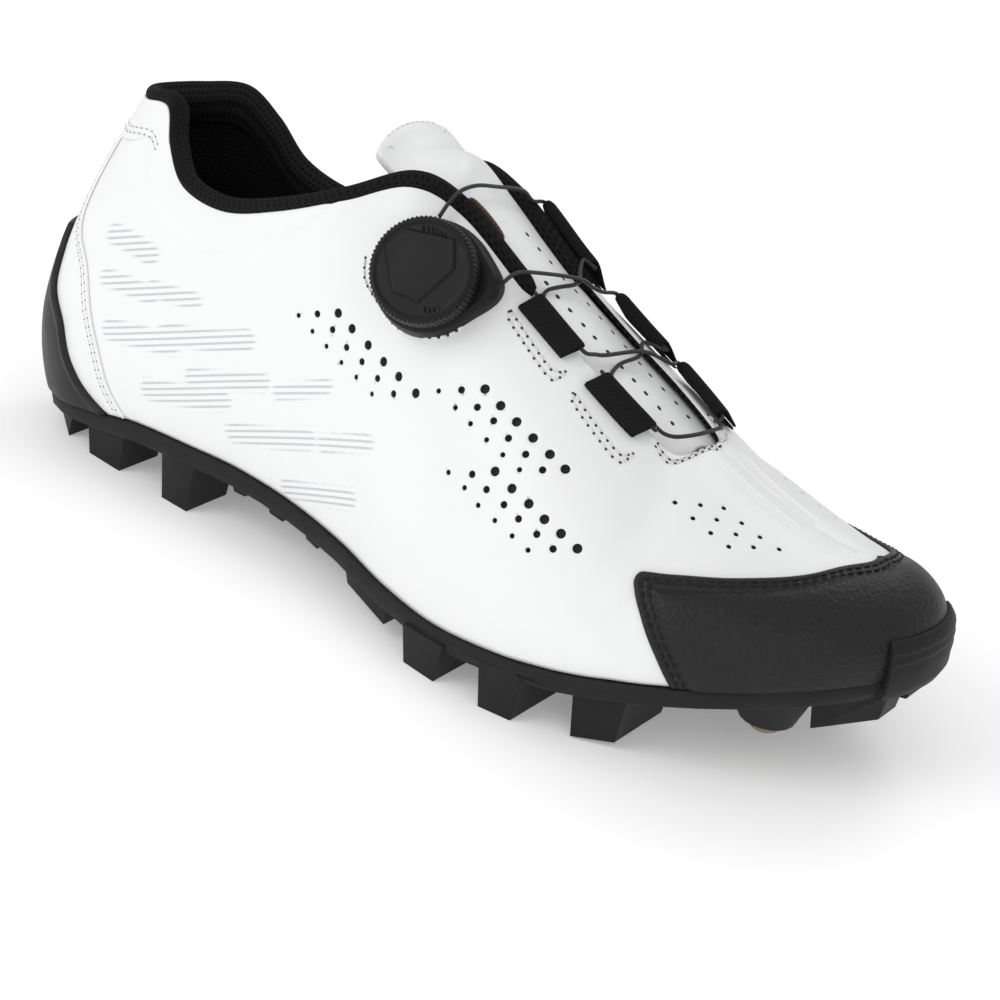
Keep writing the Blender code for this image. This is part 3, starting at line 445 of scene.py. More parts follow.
def smooth_curve(points, steps):
    """More points on a smooth curve through these."""
    p = np.asarray(points, float)
    padded = np.concatenate([p[:1], p, p[-1:]])
    t = (np.arange(steps) / steps)[:, None]
    made = []
    for i in range(len(p) - 1):
        a, b, c, d = padded[i:i + 4]
        bend = (2 * a - 5 * b + 4 * c - d) * t ** 2 + (3 * b - a - 3 * c + d) * t ** 3
        made.append(0.5 * (2 * b + (c - a) * t + bend))
    return np.concatenate(made + [p[-1:]])


def even(points, gap):
    """Points at one spacing along a polyline. Columns after the first three are carried along."""
    points = np.asarray(points, float)
    steps = np.linalg.norm(np.diff(points[:, :3], axis=0), axis=1)
    run = np.concatenate([[0], np.cumsum(steps)])
    count = max(2, int(round(run[-1] / gap)) + 1)
    at = np.linspace(0, run[-1], count)
    return np.stack([np.interp(at, run, points[:, c]) for c in range(points.shape[1])], -1)


def pebble_mesh(around, up):
    """A ball of few faces, kept to be set down many times."""
    bm = bmesh.new()
    bmesh.ops.create_uvsphere(bm, u_segments=around, v_segments=up, radius=1)
    mesh = bpy.data.meshes.new("pebble")
    bm.to_mesh(mesh)
    bm.free()
    return mesh


def set_down(bm, mesh, matrix):
    one = mesh.copy()
    one.transform(matrix)
    bm.from_mesh(one)
    bpy.data.meshes.remove(one)


def stitches(bm, path, ups, length, gap, radius, lift=0.0, wide=1.0):
    """Short rounded threads, end to end along a seam. Returns the places between them."""
    line = even(np.concatenate([path, ups], 1), length + gap)
    ball = pebble_mesh(6, 5)
    for a, b in zip(line[:-1], line[1:]):
        along, up = unit(b[:3] - a[:3]), unit(a[3:] + b[3:])
        side = unit(np.cross(up, along))
        middle = Vector((a[:3] + b[:3]) / 2 + up * lift)
        axes = (side * radius * wide, np.cross(along, side) * radius, along * length / 2)
        turn = Matrix(axes).transposed().to_4x4()
        set_down(bm, ball, Matrix.Translation(middle) @ turn)
    bpy.data.meshes.remove(ball)
    return line[:, :3], line[:, 3:]


def dots(bm, places, ups, radius, lift=0.0, flat=0.35, sides=8):
    """Small round dimples or holes on a surface: flattened balls which, in the dark finish, are painted shade of
    holes.
    """
    ball = pebble_mesh(sides, 4)
    for place, up in zip(places, ups):
        turn = Vector(up).to_track_quat("Z", "Y").to_matrix().to_4x4()
        squash = Matrix.Diagonal((radius, radius, radius * flat, 1))
        set_down(bm, ball, Matrix.Translation(Vector(place + up * lift)) @ turn @ squash)
    bpy.data.meshes.remove(ball)


def tube(bm, path, radius, sides=8, flat=1.0, ups=None):
    """A round or flattened tube along a path, with its ends filled."""
    path = np.asarray(path, float)
    ahead = unit(np.gradient(path, axis=0))
    if ups is None:
        ups = [np.cross(ahead[0], (0.3, 0.5, 0.8))]
        for step in ahead[1:]:
            ups.append(ups[-1] - step * np.dot(ups[-1], step))
    ups = unit(np.asarray(ups) - ahead * np.einsum("ij,ij->i", np.asarray(ups), ahead)[:, None])
    beside = np.cross(ups, ahead)
    wide = np.broadcast_to(radius, (len(path),))
    run = np.concatenate([[0], np.cumsum(np.linalg.norm(np.diff(path, axis=0), axis=1))]) * 1000

    def shape(u, w):
        k = np.round(w * (len(path) - 1)).astype(int)
        turn = 2 * math.pi * u
        out = beside[k] * np.cos(turn)[:, None] + ups[k] * np.sin(turn)[:, None] * flat
        return path[k] + out * wide[k][:, None]

    _, verts = sheet_of(shape, sides, len(path) - 1, (1.0, run[-1]), bm)
    kept = {v for v in verts if v.is_valid}
    bmesh.ops.remove_doubles(bm, verts=list(kept), dist=1e-7)
    kept = [v for v in verts if v.is_valid]
    edges = list({e for v in kept for e in v.link_edges if e.is_boundary})
    bmesh.ops.holes_fill(bm, edges=edges, sides=0)
    bmesh.ops.recalc_face_normals(bm, faces=list({f for v in kept for f in v.link_faces}))
    return kept


def hole_border(faces, centres, centre, normal, radius):
    """Faces round a hole that leave one plain border, and the edges of that border."""
    for margin in (0.75, 0.6, 0.9, 1.05):
        near = np.nonzero(np.linalg.norm(centres - centre, axis=1) < radius + margin * MM)[0]
        chosen = {faces[i] for i in near if np.dot(faces[i].normal, normal) > 0.3}
        border = [e for f in chosen for e in f.edges if len(set(e.link_faces) & chosen) == 1]
        ends = [v for e in border for v in e.verts]
        if border and all(ends.count(v) == 2 for v in ends):
            return chosen, border
    return set(), []


def punch(bm, holes, depth, index):
    """Cuts round holes in a fine sheet, each a centre, a normal and a radius, with a soft lip and a wall and floor
    darkened as painted shade.
    """
    faces = [f for f in bm.faces if f.material_index == 0]
    centres = np.array([f.calc_center_median() for f in faces])
    gone, made = set(), []
    for centre, normal, radius in holes:
        chosen, border = hole_border(faces, centres, centre, normal, radius)
        if not border or chosen & gone:
            continue
        gone |= chosen
        one = bmesh.new()
        corner = {v: one.verts.new(v.co) for e in border for v in e.verts}
        rim = [one.edges.new([corner[v] for v in e.verts]) for e in border]
        turn = Vector(normal).to_track_quat("Z", "Y").to_matrix().to_4x4()
        wide = radius + 0.14 * MM
        where = Matrix.Translation(Vector(centre)) @ turn
        ring = bmesh.ops.create_circle(one, segments=16, radius=wide, matrix=where)
        loop = list({e for v in ring["verts"] for e in v.link_edges})
        bmesh.ops.bridge_loops(one, edges=rim + loop)
        for share, drop in ((radius / wide, 0.16 * MM), (1.0, depth)):
            geom = bmesh.ops.extrude_edge_only(one, edges=loop)["geom"]
            loop = [g for g in geom if isinstance(g, bmesh.types.BMEdge) and g.is_boundary]
            for v in (g for g in geom if isinstance(g, bmesh.types.BMVert)):
                v.co = Vector(centre) + (v.co - Vector(centre)) * share - Vector(normal) * drop
            # the wall and floor take the finish at index, a flat dark painted shade
            if drop == depth:
                floor = bmesh.ops.contextual_create(one, geom=loop)["faces"]
                for face in set(floor) | {f for e in loop for f in e.link_faces}:
                    face.material_index = index
        bmesh.ops.recalc_face_normals(one, faces=one.faces)
        outer = [f for f in one.faces if any(e.is_boundary for e in f.edges)]
        if sum(f.normal.dot(Vector(normal)) for f in outer) < 0:
            bmesh.ops.reverse_faces(one, faces=one.faces)
        mesh = bpy.data.meshes.new("hole")
        one.to_mesh(mesh)
        one.free()
        made.append(mesh)
    bmesh.ops.delete(bm, geom=list(gone), context="FACES")
    for mesh in made:
        bm.from_mesh(mesh)
        bpy.data.meshes.remove(mesh)
    bmesh.ops.remove_doubles(bm, verts=[v for v in bm.verts if v.is_boundary], dist=1e-6)


def leather_white(name, patterned=False):
    """Smooth white microfibre with a faint pebble and, on the quarter, a print of thin grey lines."""
    f = Finish(name, (0.86, 0.865, 0.87), 0.42, specular_ior_level=0.45)
    pebble = f.cells(2600, "F1")
    tone = f.noise(38, 4)
    grain = f.noise(1900, 2)
    height = pebble * 0.5 + grain * 0.6 + tone * 0.15
    f.relief(height, 0.00007, 0.30)
    f.drive(roughness=f.between(f.noise(300, 3), 0.36, 0.48))
    base = f.mix(tone, (0.85, 0.855, 0.862, 1), (0.88, 0.882, 0.885, 1))
    if patterned:
        spot = f.node("SeparateXYZ", None, {0: f.object_place()})
        x, z = spot, Signal(f, spot.socket.node.outputs[2])
        wave = (((z * 0.927 - x * 0.375) * (2 * math.pi / 0.0017))).math("SINE")
        line = f.node("MapRange", None, {"Value": wave, "From Min": 0.25, "From Max": 0.55})
        bars = f.node("Attribute", {"attribute_name": "print"}, None, 2)
        base = f.mix(bars * line * 0.85, base, (0.52, 0.53, 0.545, 1))
    f.drive(base_color=base)
    return f


def leather_black():
    """Grained black overlay of the toe."""
    f = Finish("toe_cap_grain", (0.008, 0.008, 0.008), 0.5, specular_ior_level=0.32)
    wide = f.cells(820, "F1")
    fine_cells = f.cells(2100, "F1")
    f.relief(wide * 1.0 + fine_cells * 0.4 + f.noise(900, 3) * 0.5, 0.00022, 0.75)
    f.drive(
        roughness=f.between(f.noise(240, 3), 0.38, 0.58),
        base_color=f.mix(f.noise(500, 3), (0.006, 0.006, 0.006, 1), (0.012, 0.012, 0.012, 1)),
    )
    return f


def moulded_rubber(name, colour=0.009, rough=0.6, bump=0.4):
    f = Finish(name, (colour,) * 3, rough, specular_ior_level=0.28)
    f.relief(f.noise(1400, 4) * 1.0 + f.noise(260, 3) * 0.6, 0.00009, bump)
    f.drive(
        roughness=f.between(f.noise(90, 4), rough - 0.10, rough + 0.10),
        base_color=f.mix(f.noise(120, 4), (colour * 0.8,) * 3 + (1,), (colour * 1.3,) * 3 + (1,)),
    )
    return f


def knit(name, colour, pitch, depth=0.0004, hole_shade_share=0.35):
    """Air mesh: rows of small round holes, each row shifted by half a pitch, in the piece's own map (millimetres).
    The holes are painted darker than the threads, as painted shade.
    """
    f = Finish(name, (colour,) * 3, 0.88, specular_ior_level=0.15)
    x, y = f.place()
    row = (y / pitch).math("FLOOR")
    a = (x / pitch + row * 0.5).math("FRACT") - 0.5
    b = (y / pitch).math("FRACT") - 0.5
    distance = (a * a + b * b).math("SQRT")
    hole = f.node("MapRange", None, {"Value": distance, "From Min": 0.20, "From Max": 0.40, "To Min": 0.0, "To Max": 1.0})
    threads = f.noise(3500, 2)
    f.relief(hole + threads * 0.35, depth, 0.9)
    # painted shade: the colour darkens into each hole along with its bump, and the threads round them stay lighter
    f.drive(
        base_color=f.mix(hole, (colour * hole_shade_share,) * 3 + (1,), (colour * 1.25,) * 3 + (1,)),
        roughness=f.between(threads, 0.80, 0.95),
    )
    return f


def woven(name, colour, across=1.1, along=0.55, tint=(1, 1, 1)):
    """Webbing: a twill of short ribs in the piece's own map (millimetres). Its own colour is painted darker in the
    grooves as painted shade and lighter on the crests as painted highlight.
    """
    f = Finish(name, tuple(colour * t for t in tint), 0.85, specular_ior_level=0.15)
    x, y = f.place()
    ribs = ((x / across + y / along * 0.5) * (2 * math.pi)).math("SINE") * 0.5 + 0.5
    ticks = ((y / along) * (2 * math.pi)).math("SINE") * 0.5 + 0.5
    height = ribs * 0.7 + ticks * 0.5 + f.noise(2500, 2) * 0.3
    f.relief(height, 0.00025, 0.9)
    # painted shade and highlight: the colour follows the ribs' height, dark in the grooves and light on the crests
    f.drive(
        base_color=f.mix(
            height * 0.6, tuple(colour * 0.45 * t for t in tint) + (1,), tuple(colour * 1.6 * t for t in tint) + (1,),
        ),
        roughness=f.between(height, 0.92, 0.78),
    )
    return f


def moulded_plastic(name, colour=0.005, rough=0.42):
    f = Finish(name, (colour,) * 3, rough, specular_ior_level=0.22)
    f.relief(f.noise(2200, 3), 0.00003, 0.35)
    f.drive(
        roughness=f.between(f.noise(150, 4), rough - 0.07, rough + 0.10),
        base_color=f.mix(f.noise(60, 3), (colour * 0.85,) * 3 + (1,), (colour * 1.2,) * 3 + (1,)),
    )
    return f


def thread(name, colour):
    f = Finish(name, colour, 0.7, specular_ior_level=0.3)
    f.relief(f.noise(4500, 2), 0.00006, 0.6)
    dark, light = (tuple(min(1, c * share) for c in colour) + (1,) for share in (0.85, 1.08))
    f.drive(base_color=f.mix(f.noise(900, 2), dark, light))
    return f


def coated_wire():
    """Wire lace: strands twisted under a thin clear coat. The colour follows the twist: painted shade between the
    strands, painted highlight on them.
    """
    f = Finish("lace_wire_coat", (0.02, 0.02, 0.022), 0.4, specular_ior_level=0.4)
    x, y = f.place()
    twist = ((y / 1.6 + x) * (2 * math.pi * 3)).math("SINE")
    f.relief(twist, 0.00005, 0.7)
    # painted shade and highlight: the colour darkens in the hollows of the twist and lightens on its crests
    f.drive(
        base_color=f.mix(twist * 0.5 + 0.5, (0.008, 0.008, 0.009, 1), (0.03, 0.03, 0.032, 1)),
        roughness=f.node("MapRange", None, {"Value": twist, "From Min": -1, "To Min": 0.5, "To Max": 0.3}),
    )
    return f


def dull_metal():
    f = Finish("stud_metal", (0.32, 0.25, 0.17), 0.38, metallic=1.0)
    f.relief(f.noise(900, 4), 0.00008, 0.4)
    f.drive(
        roughness=f.between(f.noise(400, 4), 0.28, 0.55),
        base_color=f.mix(f.noise(300, 4), (0.24, 0.18, 0.12, 1), (0.42, 0.34, 0.24, 1)),
    )
    return f


def studio(name, colour, rough, **sockets):
    f = Finish(name, colour, rough, emission_color=(1, 1, 1, 1), **sockets)
    f.drive(roughness=f.between(f.noise(3, 2), rough - 0.03, rough + 0.03))
    return f




def plain(name, colour, rough=0.9):
    """Shadowed inside of a hole, or cut edge of leather."""
    f = Finish(name, colour, rough, specular_ior_level=0.1)
    f.drive(roughness=f.between(f.noise(800, 2), rough - 0.05, rough + 0.05))
    return f


def share_table(rows, x):
    """A smooth curve through a short table of (x, y) rows."""
    rows = np.asarray(rows, float)
    slopes = np.gradient(rows[:, 1], rows[:, 0])
    x = np.clip(np.asarray(x, float), rows[0, 0], rows[-1, 0])
    i = np.clip(np.searchsorted(rows[:, 0], x) - 1, 0, len(rows) - 2)
    width = rows[i + 1, 0] - rows[i, 0]
    t = (x - rows[i, 0]) / width
    return (
        (2 * t ** 3 - 3 * t ** 2 + 1) * rows[i, 1] + (t ** 3 - 2 * t ** 2 + t) * width * slopes[i]
        + (3 * t ** 2 - 2 * t ** 3) * rows[i + 1, 1] + (t ** 3 - t ** 2) * width * slopes[i + 1]
    )


def bell(distance, width):
    return np.exp(-(distance / width) ** 2)


def along_line(here, points, reach=8.0):
    """Distance from places in millimetres to a line on the upper through stations (s, v)."""
    line = smooth_curve(points, 6)
    there = last_form(line[:, 0], line[:, 1]) * 1000
    flat = here.reshape(-1, 3)
    best = np.full(len(flat), 1e3)
    close = np.all((flat > there.min(0) - reach) & (flat < there.max(0) + reach), axis=1)
    for a, b in zip(there[:-1], there[1:]):
        step = b - a
        t = np.clip((flat[close] - a) @ step / max(step @ step, 1e-9), 0, 1)
        best[close] = np.minimum(best[close], np.linalg.norm(flat[close] - a - t[:, None] * step, axis=1))
    return best.reshape(here.shape[:-1])


COLLAR_SEAM = (
    (1.93, 0.885), (2.2, 0.85), (2.57, 0.827), (3.37, 0.797), (4.0, 0.803), (4.53, 0.81), (5.07, 0.833),
    (5.58, 0.857), (6.07, 0.883), (6.5, 0.905), (6.73, 0.94), (6.92, 0.985),
)
VAMP_FLUTES = (
    ((14.2, 0.895), (15.5, 0.875), (16.78, 0.857)),
    ((14.58, 0.955), (15.8, 0.945), (17.08, 0.933)),
    ((25.25, 0.978), (24.0, 0.98), (22.68, 0.982)),
    ((25.48, 0.89), (24.2, 0.90), (22.87, 0.905)),
)
# Soft creases where the forefoot flexes: two ends, depth and width in millimetres
FLEX_CREASES = (
    ((12.6, 0.30), (13.6, 0.62), 0.22, 4.0),
    ((13.9, 0.22), (14.6, 0.50), 0.16, 3.5),
    ((9.6, 0.24), (11.2, 0.70), -0.12, 6.0),
    ((5.4, 0.35), (6.6, 0.72), 0.18, 6.0),
)
# Small, middle and large holes of the quarter, by their places on the lateral side
QUARTER_HOLES = (
    (0.66, ((6.72, 0.597), (7.0, 0.543), (7.28, 0.493), (7.58, 0.443), (7.88, 0.407), (8.22, 0.38),
            (9.35, 0.493), (9.65, 0.5), (9.92, 0.503), (10.2, 0.503), (10.47, 0.503), (10.75, 0.503),
            (9.78, 0.357), (10.07, 0.357), (10.32, 0.343), (10.6, 0.337), (10.9, 0.33), (11.2, 0.323))),
    (0.92, ((7.03, 0.597), (7.33, 0.54), (7.62, 0.483), (7.93, 0.447), (8.27, 0.42), (8.62, 0.407),
            (9.67, 0.55), (9.95, 0.553), (10.22, 0.56), (10.48, 0.553), (10.77, 0.553), (11.07, 0.553),
            (10.13, 0.4), (10.38, 0.393), (10.67, 0.39), (10.93, 0.383), (11.27, 0.38), (11.6, 0.373))),
    (1.22, ((7.37, 0.587), (7.65, 0.533), (7.98, 0.49), (8.32, 0.463), (8.65, 0.45), (9.0, 0.443),
            (9.98, 0.61), (10.25, 0.61), (10.52, 0.61), (10.8, 0.61), (11.1, 0.61), (11.38, 0.61),
            (10.43, 0.45), (10.72, 0.443), (11.02, 0.44), (11.32, 0.433), (11.65, 0.43), (12.03, 0.423))),
)
FOREFOOT_HOLES = (
    (13.93, 0.677), (14.82, 0.707), (15.4, 0.75), (14.78, 0.647), (15.35, 0.69), (15.87, 0.74),
    (15.33, 0.63), (15.83, 0.68), (16.3, 0.727), (15.77, 0.617), (16.23, 0.667), (16.7, 0.72),
)
# Printed bars of thin lines on the rear quarter: two ends of each, half width in millimetres
PRINT_BARS = (
    ((2.3, 0.60), (3.6, 0.66), 3.0), ((3.9, 0.56), (4.8, 0.60), 2.4), ((2.6, 0.47), (3.9, 0.53), 2.6),
    ((4.4, 0.43), (5.9, 0.50), 3.0), ((3.1, 0.32), (4.5, 0.39), 3.2), ((5.0, 0.30), (6.3, 0.36), 2.6),
    ((4.2, 0.17), (5.6, 0.25), 3.2), ((5.9, 0.14), (7.2, 0.22), 3.0), ((6.9, 0.04), (8.1, 0.12), 2.8),
    ((6.6, 0.34), (7.4, 0.38), 2.2), ((7.5, 0.22), (8.3, 0.27), 2.4),
)


def upper_relief(s, v):
    """How far the skin stands off its own form: seams drawn in, flutes raised, soft creases of the forefoot."""
    off = np.zeros(np.broadcast(s, v).shape)
    here, opposite = last_form(s, v) * 1000, last_form(LOOP - s, v) * 1000
    for side in (here, opposite):
        seam = along_line(side, COLLAR_SEAM)
        above = along_line(side, [(a, min(0.99, b + 0.06)) for a, b in COLLAR_SEAM], 12.0)
        off += (0.7 * bell(above, 5.5) - 0.5 * bell(seam, 1.1)) * MM
        for first, last, depth, width in FLEX_CREASES:
            off -= depth * MM * bell(along_line(side, (first, last), 3 * width), width)
    for line in VAMP_FLUTES:
        gone = along_line(here, line)
        off += (0.35 * bell(gone, 0.75) - 0.18 * bell(gone, 2.0)) * MM
    return off


def on_skin(s, v, offset=0.0):
    """A place on the outside of the upper and the way it faces."""
    s, v = np.asarray(s, float), np.asarray(v, float)
    return skin(s, v, np.broadcast_to(offset, s.shape)), last_normal(s, v)


def column_stations():
    """Loop places of the upper's columns: closer together over the quarter and the forefoot."""
    places = []
    for k in range(LOOP):
        steps = 20 if 6 <= k < 18 or 22 <= k < 34 else 12
        places += [k + i / steps for i in range(steps)]
    return np.array(places + [float(LOOP)])


OUTER_ROWS = 96
# Size of the upper's own map in millimetres: of a station, and from the feather line to the edge
MAP_STATION = 14.5
MAP_HEIGHT = 105.0


def upper_levels():
    """The path round the wall: up the outside, over the edge, down the inside, back under the edge."""
    up = [(v, 0.0) for v in np.linspace(0, 1, OUTER_ROWS) ** 0.97]
    up[-1] = (1.0, -0.25 * MM)
    over = [(1.0, -0.8 * MM), (1.0, -1.5 * MM)]
    down = [(v, -WALL) for v in np.linspace(1, 0, 22)]
    return np.array(up + over + down + [(0.0, -1.0 * MM), (0.0, 0.0)])


def make_upper(leather, lining, painted_hole_shade):
    stations_at = column_stations()
    levels = upper_levels()
    across, around = len(stations_at) - 1, len(levels) - 1
    made = {}

    def shape(u, w):
        s = stations_at[np.round(u * across).astype(int)]
        row = np.round(w * around).astype(int)
        v, off = levels[row, 0], levels[row, 1]
        outer = row < OUTER_ROWS
        off = off + np.where(outer, upper_relief(s, v), 0.0)
        normal = last_normal(s, v)
        ridge = (v > 0.999) & (s >= THROAT) & (s <= LOOP - THROAT)
        shared = unit(last_normal(s, v) + last_normal(LOOP - s, v))
        normal = np.where(ridge[:, None], shared, normal)
        bars = np.zeros(len(s))
        here, opposite = last_form(s, v) * 1000, last_form(LOOP - s, v) * 1000
        for first, last, half in PRINT_BARS:
            for side in (here, opposite):
                gone = along_line(side, (first, last))
                bars = np.maximum(bars, np.clip((half - gone) / 0.8 + 0.5, 0, 1))
        made["print"] = np.where(outer, bars, 0.0)
        return last_form(s, v) + normal * off[:, None] + np.array(PLACE)

    bm = bmesh.new()
    bars = bm.verts.layers.float.new("print")
    _, verts = sheet_of(shape, across, around, into=bm)
    for vert, value in zip(verts, made["print"]):
        vert[bars] = value
    layer = bm.loops.layers.uv["place"]
    walls = []
    for face in bm.faces:
        columns = [stations_at[int(round(loop[layer].uv[0] * across))] for loop in face.loops]
        rows = [loop[layer].uv[1] * around for loop in face.loops]
        on_ridge = min(columns) >= THROAT and max(columns) <= LOOP - THROAT
        if on_ridge and OUTER_ROWS - 1.5 < min(rows) and max(rows) < OUTER_ROWS + 2.5:
            walls.append(face)
        if max(rows) > OUTER_ROWS + 0.5:
            face.material_index = 1
        for loop in face.loops:
            u, w = loop[layer].uv
            column, row = int(round(u * across)), int(round(w * around))
            loop[layer].uv = (stations_at[column] * MAP_STATION, levels[row, 0] * MAP_HEIGHT)
    bmesh.ops.delete(bm, geom=walls, context="FACES")
    bmesh.ops.remove_doubles(bm, verts=bm.verts, dist=2e-5)
    holes = []
    for radius, places in QUARTER_HOLES + ((0.62, FOREFOOT_HOLES),):
        for s, v in places:
            for side in (s, LOOP - s):
                place, normal = on_skin(side, v)
                holes.append((place, normal, radius * MM))
    # the holes' walls and floors take finish 2, the flat dark painted shade
    punch(bm, holes, 1.3 * MM, 2)
    bm.normal_update()
    return finished("upper_skin", bm, [leather, lining, painted_hole_shade], replaces=["upper"])


# Where the toe cap's rear edge and top edge run: reach from the toe by share of height,
# top by stations from the toe
CAP_REACH_LINE = ((0.0, 4.55), (0.28, 4.95), (0.6, 5.52), (0.92, 6.16), (1.0, 6.25))
CAP_TOP_LINE = (
    (0.0, 0.89), (0.55, 0.86), (1.9, 0.76), (2.73, 0.635), (3.3, 0.565), (3.8, 0.513), (4.6, 0.455), (5.2, 0.427),
    (6.3, 0.403),
)
CAP_TOP_MEDIAL_LINE = (
    (0.0, 0.89), (1.0, 0.80), (2.13, 0.63), (2.8, 0.545), (3.8, 0.45), (4.6, 0.405), (5.4, 0.38), (6.3, 0.365),
)


def cap_top(d):
    return np.where(d < 0, share_table(CAP_TOP_LINE, np.abs(d)), share_table(CAP_TOP_MEDIAL_LINE, np.abs(d)))


class Overlay:
    """A panel on the upper, spread from a middle station, with rounded edges and stitch rows inside them."""

    def __init__(self, middle, reach, top, inner, thick, low=0.004, corner=0.0, pull=0.0):
        self.middle, self.reach, self.top = middle, reach, top
        self.inner, self.thick, self.low, self.corner, self.pull = inner, thick, low, corner, pull

    def at(self, a, w):
        """Station (s, v) from shares across and up the panel."""
        far = share_table(self.reach, w)
        if self.corner:
            turn = np.clip((w - (1 - self.corner)) / self.corner, 0, 1)
            far = far - self.pull * (1 - np.sqrt(np.clip(1 - turn ** 2, 0, 1)))
        s = self.middle + a * far
        return s, self.low + w * (self.top(s - self.middle) - self.low)

    def make(self, name, node, finish, across, upwards, rim, swell=0.0, swell_from=0.0, relief=None):
        fan = np.linspace(-1, 1, across + 1)
        fan = np.sign(fan) * (1 - (1 - np.abs(fan)) ** 1.3)
        rise = 1 - (1 - np.linspace(0, 1, upwards + 1)) ** 1.25
        a, w = np.meshgrid(fan, rise, indexing="ij")
        s, v = self.at(a, w)
        points = last_form(s, v) * 1000
        border = np.concatenate([points[0, :], points[:, -1], points[-1, ::-1]])
        inside = np.full(s.size, 1e3)
        flat = points.reshape(-1, 3)
        for p, q in zip(border[:-1], border[1:]):
            step = q - p
            t = np.clip((flat - p) @ step / max(step @ step, 1e-9), 0, 1)
            inside = np.minimum(inside, np.linalg.norm(flat - p - t[:, None] * step, axis=1))
        inside = inside.reshape(s.shape)
        crown = 1 - np.clip(1 - inside / rim, 0, 1) ** 2
        offset = self.inner + self.thick * (0.45 + 0.55 * crown)
        if swell:
            offset = offset + swell * (1 - np.exp(-np.clip(inside - swell_from, 0, None) / 1.4))
        if relief is not None:
            offset = offset + relief(s, v, inside)
        outer, under = skin(s, v, offset), skin(s, v, np.full(s.shape, self.inner))
        bm = bmesh.new()
        sheets = []
        for sheet in (outer, under):
            _, verts = sheet_of(
                lambda u, t, sheet=sheet: sheet[np.round(u * across).astype(int), np.round(t * upwards).astype(int)],
                across, upwards, (across * 1.0, upwards * 1.0), bm,
            )
            sheets.append(verts)
        bmesh.ops.reverse_faces(bm, faces=list({f for v in sheets[1] for f in v.link_faces}))
        bmesh.ops.bridge_loops(bm, edges=[e for e in bm.edges if e.is_boundary])
        bmesh.ops.recalc_face_normals(bm, faces=bm.faces)
        return finished(name, bm, finish, replaces=[node] if node else [])

    def seam(self, inset, lift, top=True, sides=(-1, 1), start=0.0):
        """Places and ways up of a stitch row at this distance inside the edges."""
        lines = []
        for side in sides:
            w = np.linspace(start, 1, 60)
            s0, v0 = self.at(np.full(60, float(side)), w)
            s1, v1 = self.at(np.full(60, side * 0.9), w)
            wide = np.linalg.norm(last_form(s1, v1) - last_form(s0, v0), axis=1)
            a = side * (1 - 0.1 * inset / wide)
            s2, v2 = self.at(a, w - 0.05)
            s3, v3 = self.at(a, w)
            high = np.linalg.norm(last_form(s3, v3) - last_form(s2, v2), axis=1)
            if top:
                stop = 1 - 0.05 * inset / high[-1]
                a, w = a[w < stop], w[w < stop]
            lines.append(np.stack([a, w], 1))
        if top:
            a = np.linspace(-1, 1, 160)
            s1, v1 = self.at(a, np.ones(160))
            s0, v0 = self.at(a, np.full(160, 0.95))
            high = np.linalg.norm(last_form(s1, v1) - last_form(s0, v0), axis=1)
            w = 1 - 0.05 * inset / high
            keep = (a > (lines[0][-1, 0] if -1 in sides else -1)) & (a < (lines[-1][-1, 0] if 1 in sides else 1))
            over = np.stack([a, w], 1)[keep]
            first = lines[0] if -1 in sides else np.empty((0, 2))
            last = lines[-1][::-1] if 1 in sides else np.empty((0, 2))
            lines = [np.concatenate([first, over, last])]
        made = []
        for line in lines:
            s, v = self.at(line[:, 0], line[:, 1])
            made.append(on_skin(s, v, lift))
        return made


TOE_CAP = Overlay(TOE, CAP_REACH_LINE, cap_top, 0.3 * MM, 1.0 * MM, corner=0.10, pull=0.22)
BACK_STAY = Overlay(0, STAY_REACH, lambda d: STAY_TOP + 0.012 + 0 * d, 0.1 * MM, 0.75 * MM)
HEEL_CUP = Overlay(0, COUNTER_REACH, lambda d: COUNTER_TOP + 0 * d, 0.9 * MM, 1.3 * MM)
TAB_REACH = ((0.0, 1.35), (0.15, 1.85), (0.5, 2.35), (1.0, 2.9))
HEEL_TAB = Overlay(0, TAB_REACH, lambda d: 0.997 + 0 * d, 0.1 * MM, 0.6 * MM, low=0.872)


